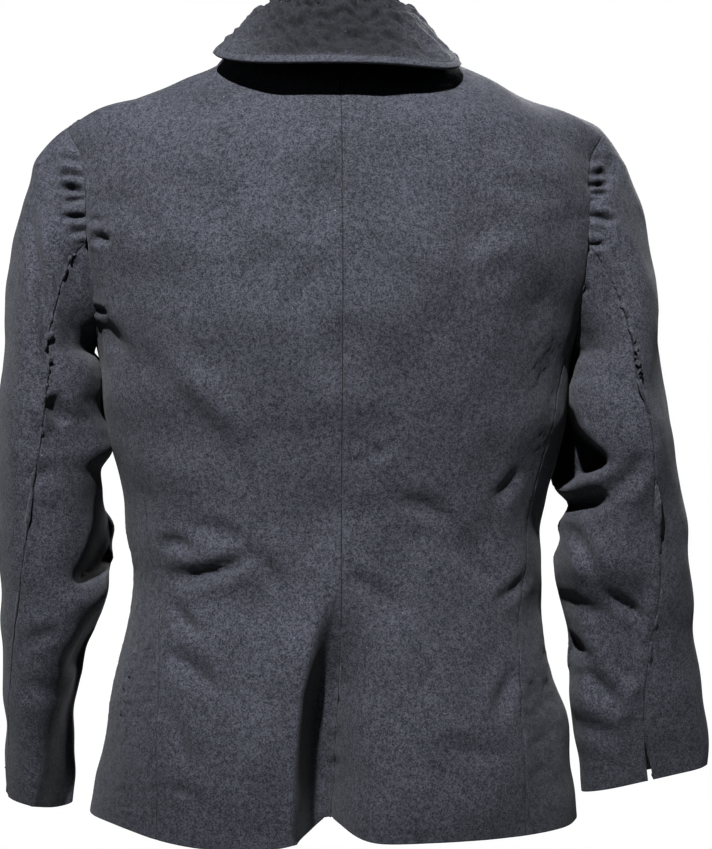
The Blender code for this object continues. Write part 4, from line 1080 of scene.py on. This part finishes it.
# %% [markdown]
# ## Stitches
# One small stitch is modelled and copied along a line. The line is where the skin lies a set distance from
# its free edge. Every mesh edge that passes that distance gives one point of it. The points are put in order
# and averaged in small groups, which makes the line smooth.

# %% Topstitching
GROUP = 6
STITCH_LENGTH = 0.0017
STITCH_STEP = 0.0027
STITCH_THICKNESS = 0.0008
THREAD_STANDS = 0.00010
SHORTEST_STEP = 1e-5

thread_paint = plain_paint("thread", (0.004, 0.004, 0.006))


def stitch_mesh():
    bpy.ops.object.select_all(action="DESELECT")
    bpy.ops.mesh.primitive_uv_sphere_add(segments=6, ring_count=4, radius=0.5)
    stitch = bpy.context.object
    stitch.scale = (STITCH_LENGTH, STITCH_THICKNESS, STITCH_THICKNESS)
    bpy.ops.object.transform_apply(location=False, rotation=False, scale=True)
    mesh = stitch.data
    bpy.data.objects.remove(stitch)
    return mesh


def line_at(skin, distance, wanted, order):
    """The points where the skin lies wanted from its edge, ordered by a measure of the place, and normals."""
    places, normals = points_of(skin)
    ends = np.zeros(len(skin.data.edges) * 2, dtype=int)
    skin.data.edges.foreach_get("vertices", ends)
    start, end = ends.reshape(-1, 2).T
    crossing = (distance[start] - wanted) * (distance[end] - wanted) < 0
    start, end = start[crossing], end[crossing]
    share = ((wanted - distance[start]) / (distance[end] - distance[start]))[:, None]
    found = places[start] * (1 - share) + places[end] * share
    facing = normals[start] * (1 - share) + normals[end] * share
    measure = np.array([order(place) for place in found])
    rank = np.argsort(measure)
    groups = np.array_split(rank, max(2, round(len(rank) / GROUP)))
    return tuple(np.array([values[group].mean(axis=0) for group in groups]) for values in (found, facing))


def stitch_spots(points, facing):
    """Evenly spaced places along a line, each with its direction and normal."""
    lengths = np.linalg.norm(np.diff(points, axis=0), axis=1)
    kept = np.concatenate([[True], lengths > SHORTEST_STEP])
    points, facing = points[kept], facing[kept]
    done = np.concatenate([[0], np.cumsum(np.linalg.norm(np.diff(points, axis=0), axis=1))])

    def value_at(values, run):
        return np.array([np.interp(run, done, values[:, i]) for i in range(3)])

    half = STITCH_STEP / 2
    spots = []
    for run in np.arange(STITCH_STEP, done[-1] - STITCH_STEP, STITCH_STEP):
        way = value_at(points, run + half) - value_at(points, run - half)
        spots.append((value_at(points, run), way, value_at(facing, run)))
    return spots


def sew(name, spots):
    """Joins one stitch for each spot into a single piece that lies on the cloth."""
    one = stitch_mesh()
    made = []
    for place, way, normal in spots:
        along = Vector(way).normalized()
        out = Vector(normal).normalized()
        across = out.cross(along).normalized()
        turn = Matrix((along, across, along.cross(across))).transposed().to_4x4()
        stitch = bpy.data.objects.new(name, one.copy())
        stitch.data.transform(Matrix.Translation(Vector(place) + out * THREAD_STANDS) @ turn)
        bpy.context.collection.objects.link(stitch)
        made.append(stitch)
    bpy.ops.object.select_all(action="DESELECT")
    for stitch in made:
        stitch.select_set(True)
    bpy.context.view_layer.objects.active = made[0]
    bpy.ops.object.join()
    row = bpy.context.object
    row.name = name
    row.data.materials.append(thread_paint)
    bpy.ops.object.shade_smooth()
    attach(row, "root")
    print(name, len(spots), "stitches")


# %% Stitch the collar and the lapels
FALL_TOP = 0.026
FALL_INNER = 0.058
NECK_ROUNDNESS = 0.9
ROW_FRONT_END = -0.050
LAPEL_ROW = (-0.325, -0.122)


def round_the_neck(place):
    return math.atan2(place[0], place[1])


def on_the_fall(place):
    return place[2] < FALL_TOP and np.hypot(place[0], place[1] * NECK_ROUNDNESS) > FALL_INNER


points, facing = line_at(skins["collar"], free_edges["collar"], STITCH_LINE, round_the_neck)
chosen = [i for i, place in enumerate(points) if on_the_fall(place) and place[1] > ROW_FRONT_END]
sew("collar_topstitching", stitch_spots(points[chosen], facing[chosen]))
for side in SIDES:
    node = f"lapel_{side}"
    points, facing = line_at(skins[node], free_edges[node], STITCH_LINE, lambda place: place[2])
    chosen = [i for i, place in enumerate(points) if LAPEL_ROW[0] < place[2] < LAPEL_ROW[1]]
    sew(f"{node}_topstitching", stitch_spots(points[chosen], facing[chosen]))

# %% [markdown]
# A few loose catch stitches show beside the vents, where the cuff's facing is tacked. Each is laid on the
# sleeve by casting a ray at it from behind.

# %% Catch stitches at the vents
TACKS = (
    # x, height, slant in degrees
    (-0.2455, -0.524, 20), (-0.2485, -0.526, 70), (-0.2415, -0.535, 50), (-0.2445, -0.546, 110),
    (-0.2440, -0.554, 30), (-0.2540, -0.549, 5), (-0.2590, -0.546, 10),
)
BEHIND = 0.3
for side, flip in (("right", 1), ("left", -1)):
    skin = skins[f"upper_sleeve_{side}"]
    spots = []
    for x, height, slant in TACKS:
        hit, place, normal, _ = skin.ray_cast(Vector((x * flip, BEHIND, height)), Vector((0, -1, 0)))
        if hit:
            way = Vector((math.cos(math.radians(slant)), 0, math.sin(math.radians(slant))))
            spots.append((place, way - normal * way.dot(normal), normal))
    if spots:
        sew(f"vent_tacks_{side}", spots)

# %% [markdown]
# ## The button
# The model's button is a plain turned disc. This one has a rolled rim, four sewing holes and a cross of
# thread, each from its own primitive. It closes the front, which the picture doesn't show.

# %% Button
BUTTON_RADIUS = 0.011
BUTTON_THICKNESS = 0.0030
BUTTON_BEVEL = 0.0006
RIM_ROLL = 0.0009
RIM_INSET = 0.0013
RIM_SINK = 0.0002
HOLE_RADIUS = 0.0009
HOLE_OFFSET = 0.0022

low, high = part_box("button")
seat = (Vector(low) + Vector(high)) / 2
bpy.ops.object.select_all(action="DESELECT")
bpy.ops.mesh.primitive_cylinder_add(vertices=64, radius=BUTTON_RADIUS, depth=BUTTON_THICKNESS)
button = bpy.context.object
button.name = "button_turned"
apply_modifier(button, "BEVEL", width=BUTTON_BEVEL, segments=3, limit_method="ANGLE")
bpy.ops.object.select_all(action="DESELECT")
bpy.ops.mesh.primitive_torus_add(
    major_radius=BUTTON_RADIUS - RIM_INSET, minor_radius=RIM_ROLL, major_segments=64, minor_segments=12,
    location=(0, 0, BUTTON_THICKNESS / 2 - RIM_SINK),
)
rim = bpy.context.object
rim.name = "button_rim"
for across in (-HOLE_OFFSET, HOLE_OFFSET):
    for up in (-HOLE_OFFSET, HOLE_OFFSET):
        bpy.ops.object.select_all(action="DESELECT")
        bpy.ops.mesh.primitive_cylinder_add(
            vertices=16, radius=HOLE_RADIUS, depth=BUTTON_THICKNESS * 2, location=(across, up, 0)
        )
        drill = bpy.context.object
        apply_modifier(button, "BOOLEAN", object=drill, operation="DIFFERENCE", solver="EXACT")
        bpy.data.objects.remove(drill)
print("button faces", len(button.data.polygons))

# %% The button's thread, and its place on the front
THREAD_RADIUS = 0.0005
THREAD_LENGTH = HOLE_OFFSET * 2.9
THREAD_LIFT = 0.0001
HORN_ROUGHNESS = 0.35

horn = plain_paint("horn", (0.012, 0.011, 0.012))
horn.node_tree.nodes["Principled BSDF"].inputs["Roughness"].default_value = HORN_ROUGHNESS
threads = []
for i, slant in enumerate((45, -45)):
    bpy.ops.object.select_all(action="DESELECT")
    bpy.ops.mesh.primitive_cylinder_add(
        vertices=10, radius=THREAD_RADIUS, depth=THREAD_LENGTH,
        location=(0, 0, BUTTON_THICKNESS / 2 + THREAD_LIFT), rotation=(math.pi / 2, 0, math.radians(slant)),
    )
    threads.append(bpy.context.object)
    threads[-1].name = f"button_thread_{i}"
turn = Matrix.Rotation(math.pi / 2, 4, "X")
for piece in (button, rim, *threads):
    paint, slot = (thread_paint, "suiting") if piece in threads else (horn, "horn")
    only(piece)
    bpy.ops.object.transform_apply(location=True, rotation=True, scale=True)
    piece.data.transform(Matrix.Translation(seat) @ turn)
    piece.data.materials.append(paint)
    bpy.ops.object.shade_smooth_by_angle(angle=math.radians(35))
    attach(piece, "root")
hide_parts("button")
print("button at", tuple(round(value, 4) for value in seat))

# %% [markdown]
# ## Thickness
# Solidify turns each skin into cloth 1.2 mm thick, and the doubled collar into 2.2 mm. It grows inwards, so
# that the outside stays where it was shaped. Each finished piece stands for its node of the model, and its
# cut size, which was measured when the skin was unwrapped, is listed.

# %% Finish the cloth
CLOTH = 0.0012
COLLAR_CLOTH = 0.0022
CUTS = {
    # node: width, length, area of the flat cut, how it is held
    "back_left": (0.243, 0.641, 0.1062, "hung"),
    "back_right": (0.249, 0.636, 0.1066, "hung"),
    "side_left": (0.184, 0.388, 0.0493, "hung"),
    "side_right": (0.183, 0.388, 0.0492, "hung"),
    "front_left": (0.257, 0.638, 0.1049, "hung"),
    "front_right": (0.259, 0.638, 0.1055, "hung"),
    "lapel_left": (0.144, 0.308, 0.0156, "folded"),
    "lapel_right": (0.147, 0.312, 0.0159, "folded"),
    "upper_sleeve_left": (0.183, 0.530, 0.0752, "gathered"),
    "under_sleeve_left": (0.172, 0.440, 0.0613, "hung"),
    "upper_sleeve_right": (0.175, 0.511, 0.0736, "gathered"),
    "under_sleeve_right": (0.170, 0.425, 0.0552, "hung"),
    "collar": (0.144, 0.454, 0.0400, "folded"),
}

for node, skin in skins.items():
    thickness = COLLAR_CLOTH if node == "collar" else CLOTH
    skin.data.materials.append(cloth_paint)
    apply_modifier(skin, "SOLIDIFY", thickness=thickness, offset=-1.0)
    only(skin)
    bpy.ops.object.shade_smooth()
    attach(skin, "root")
    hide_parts(node)
    width, length, area, held = CUTS[node]
total = sum(len(p.vertices) - 2 for skin in skins.values() for p in skin.data.polygons)
print("cloth triangles", total)
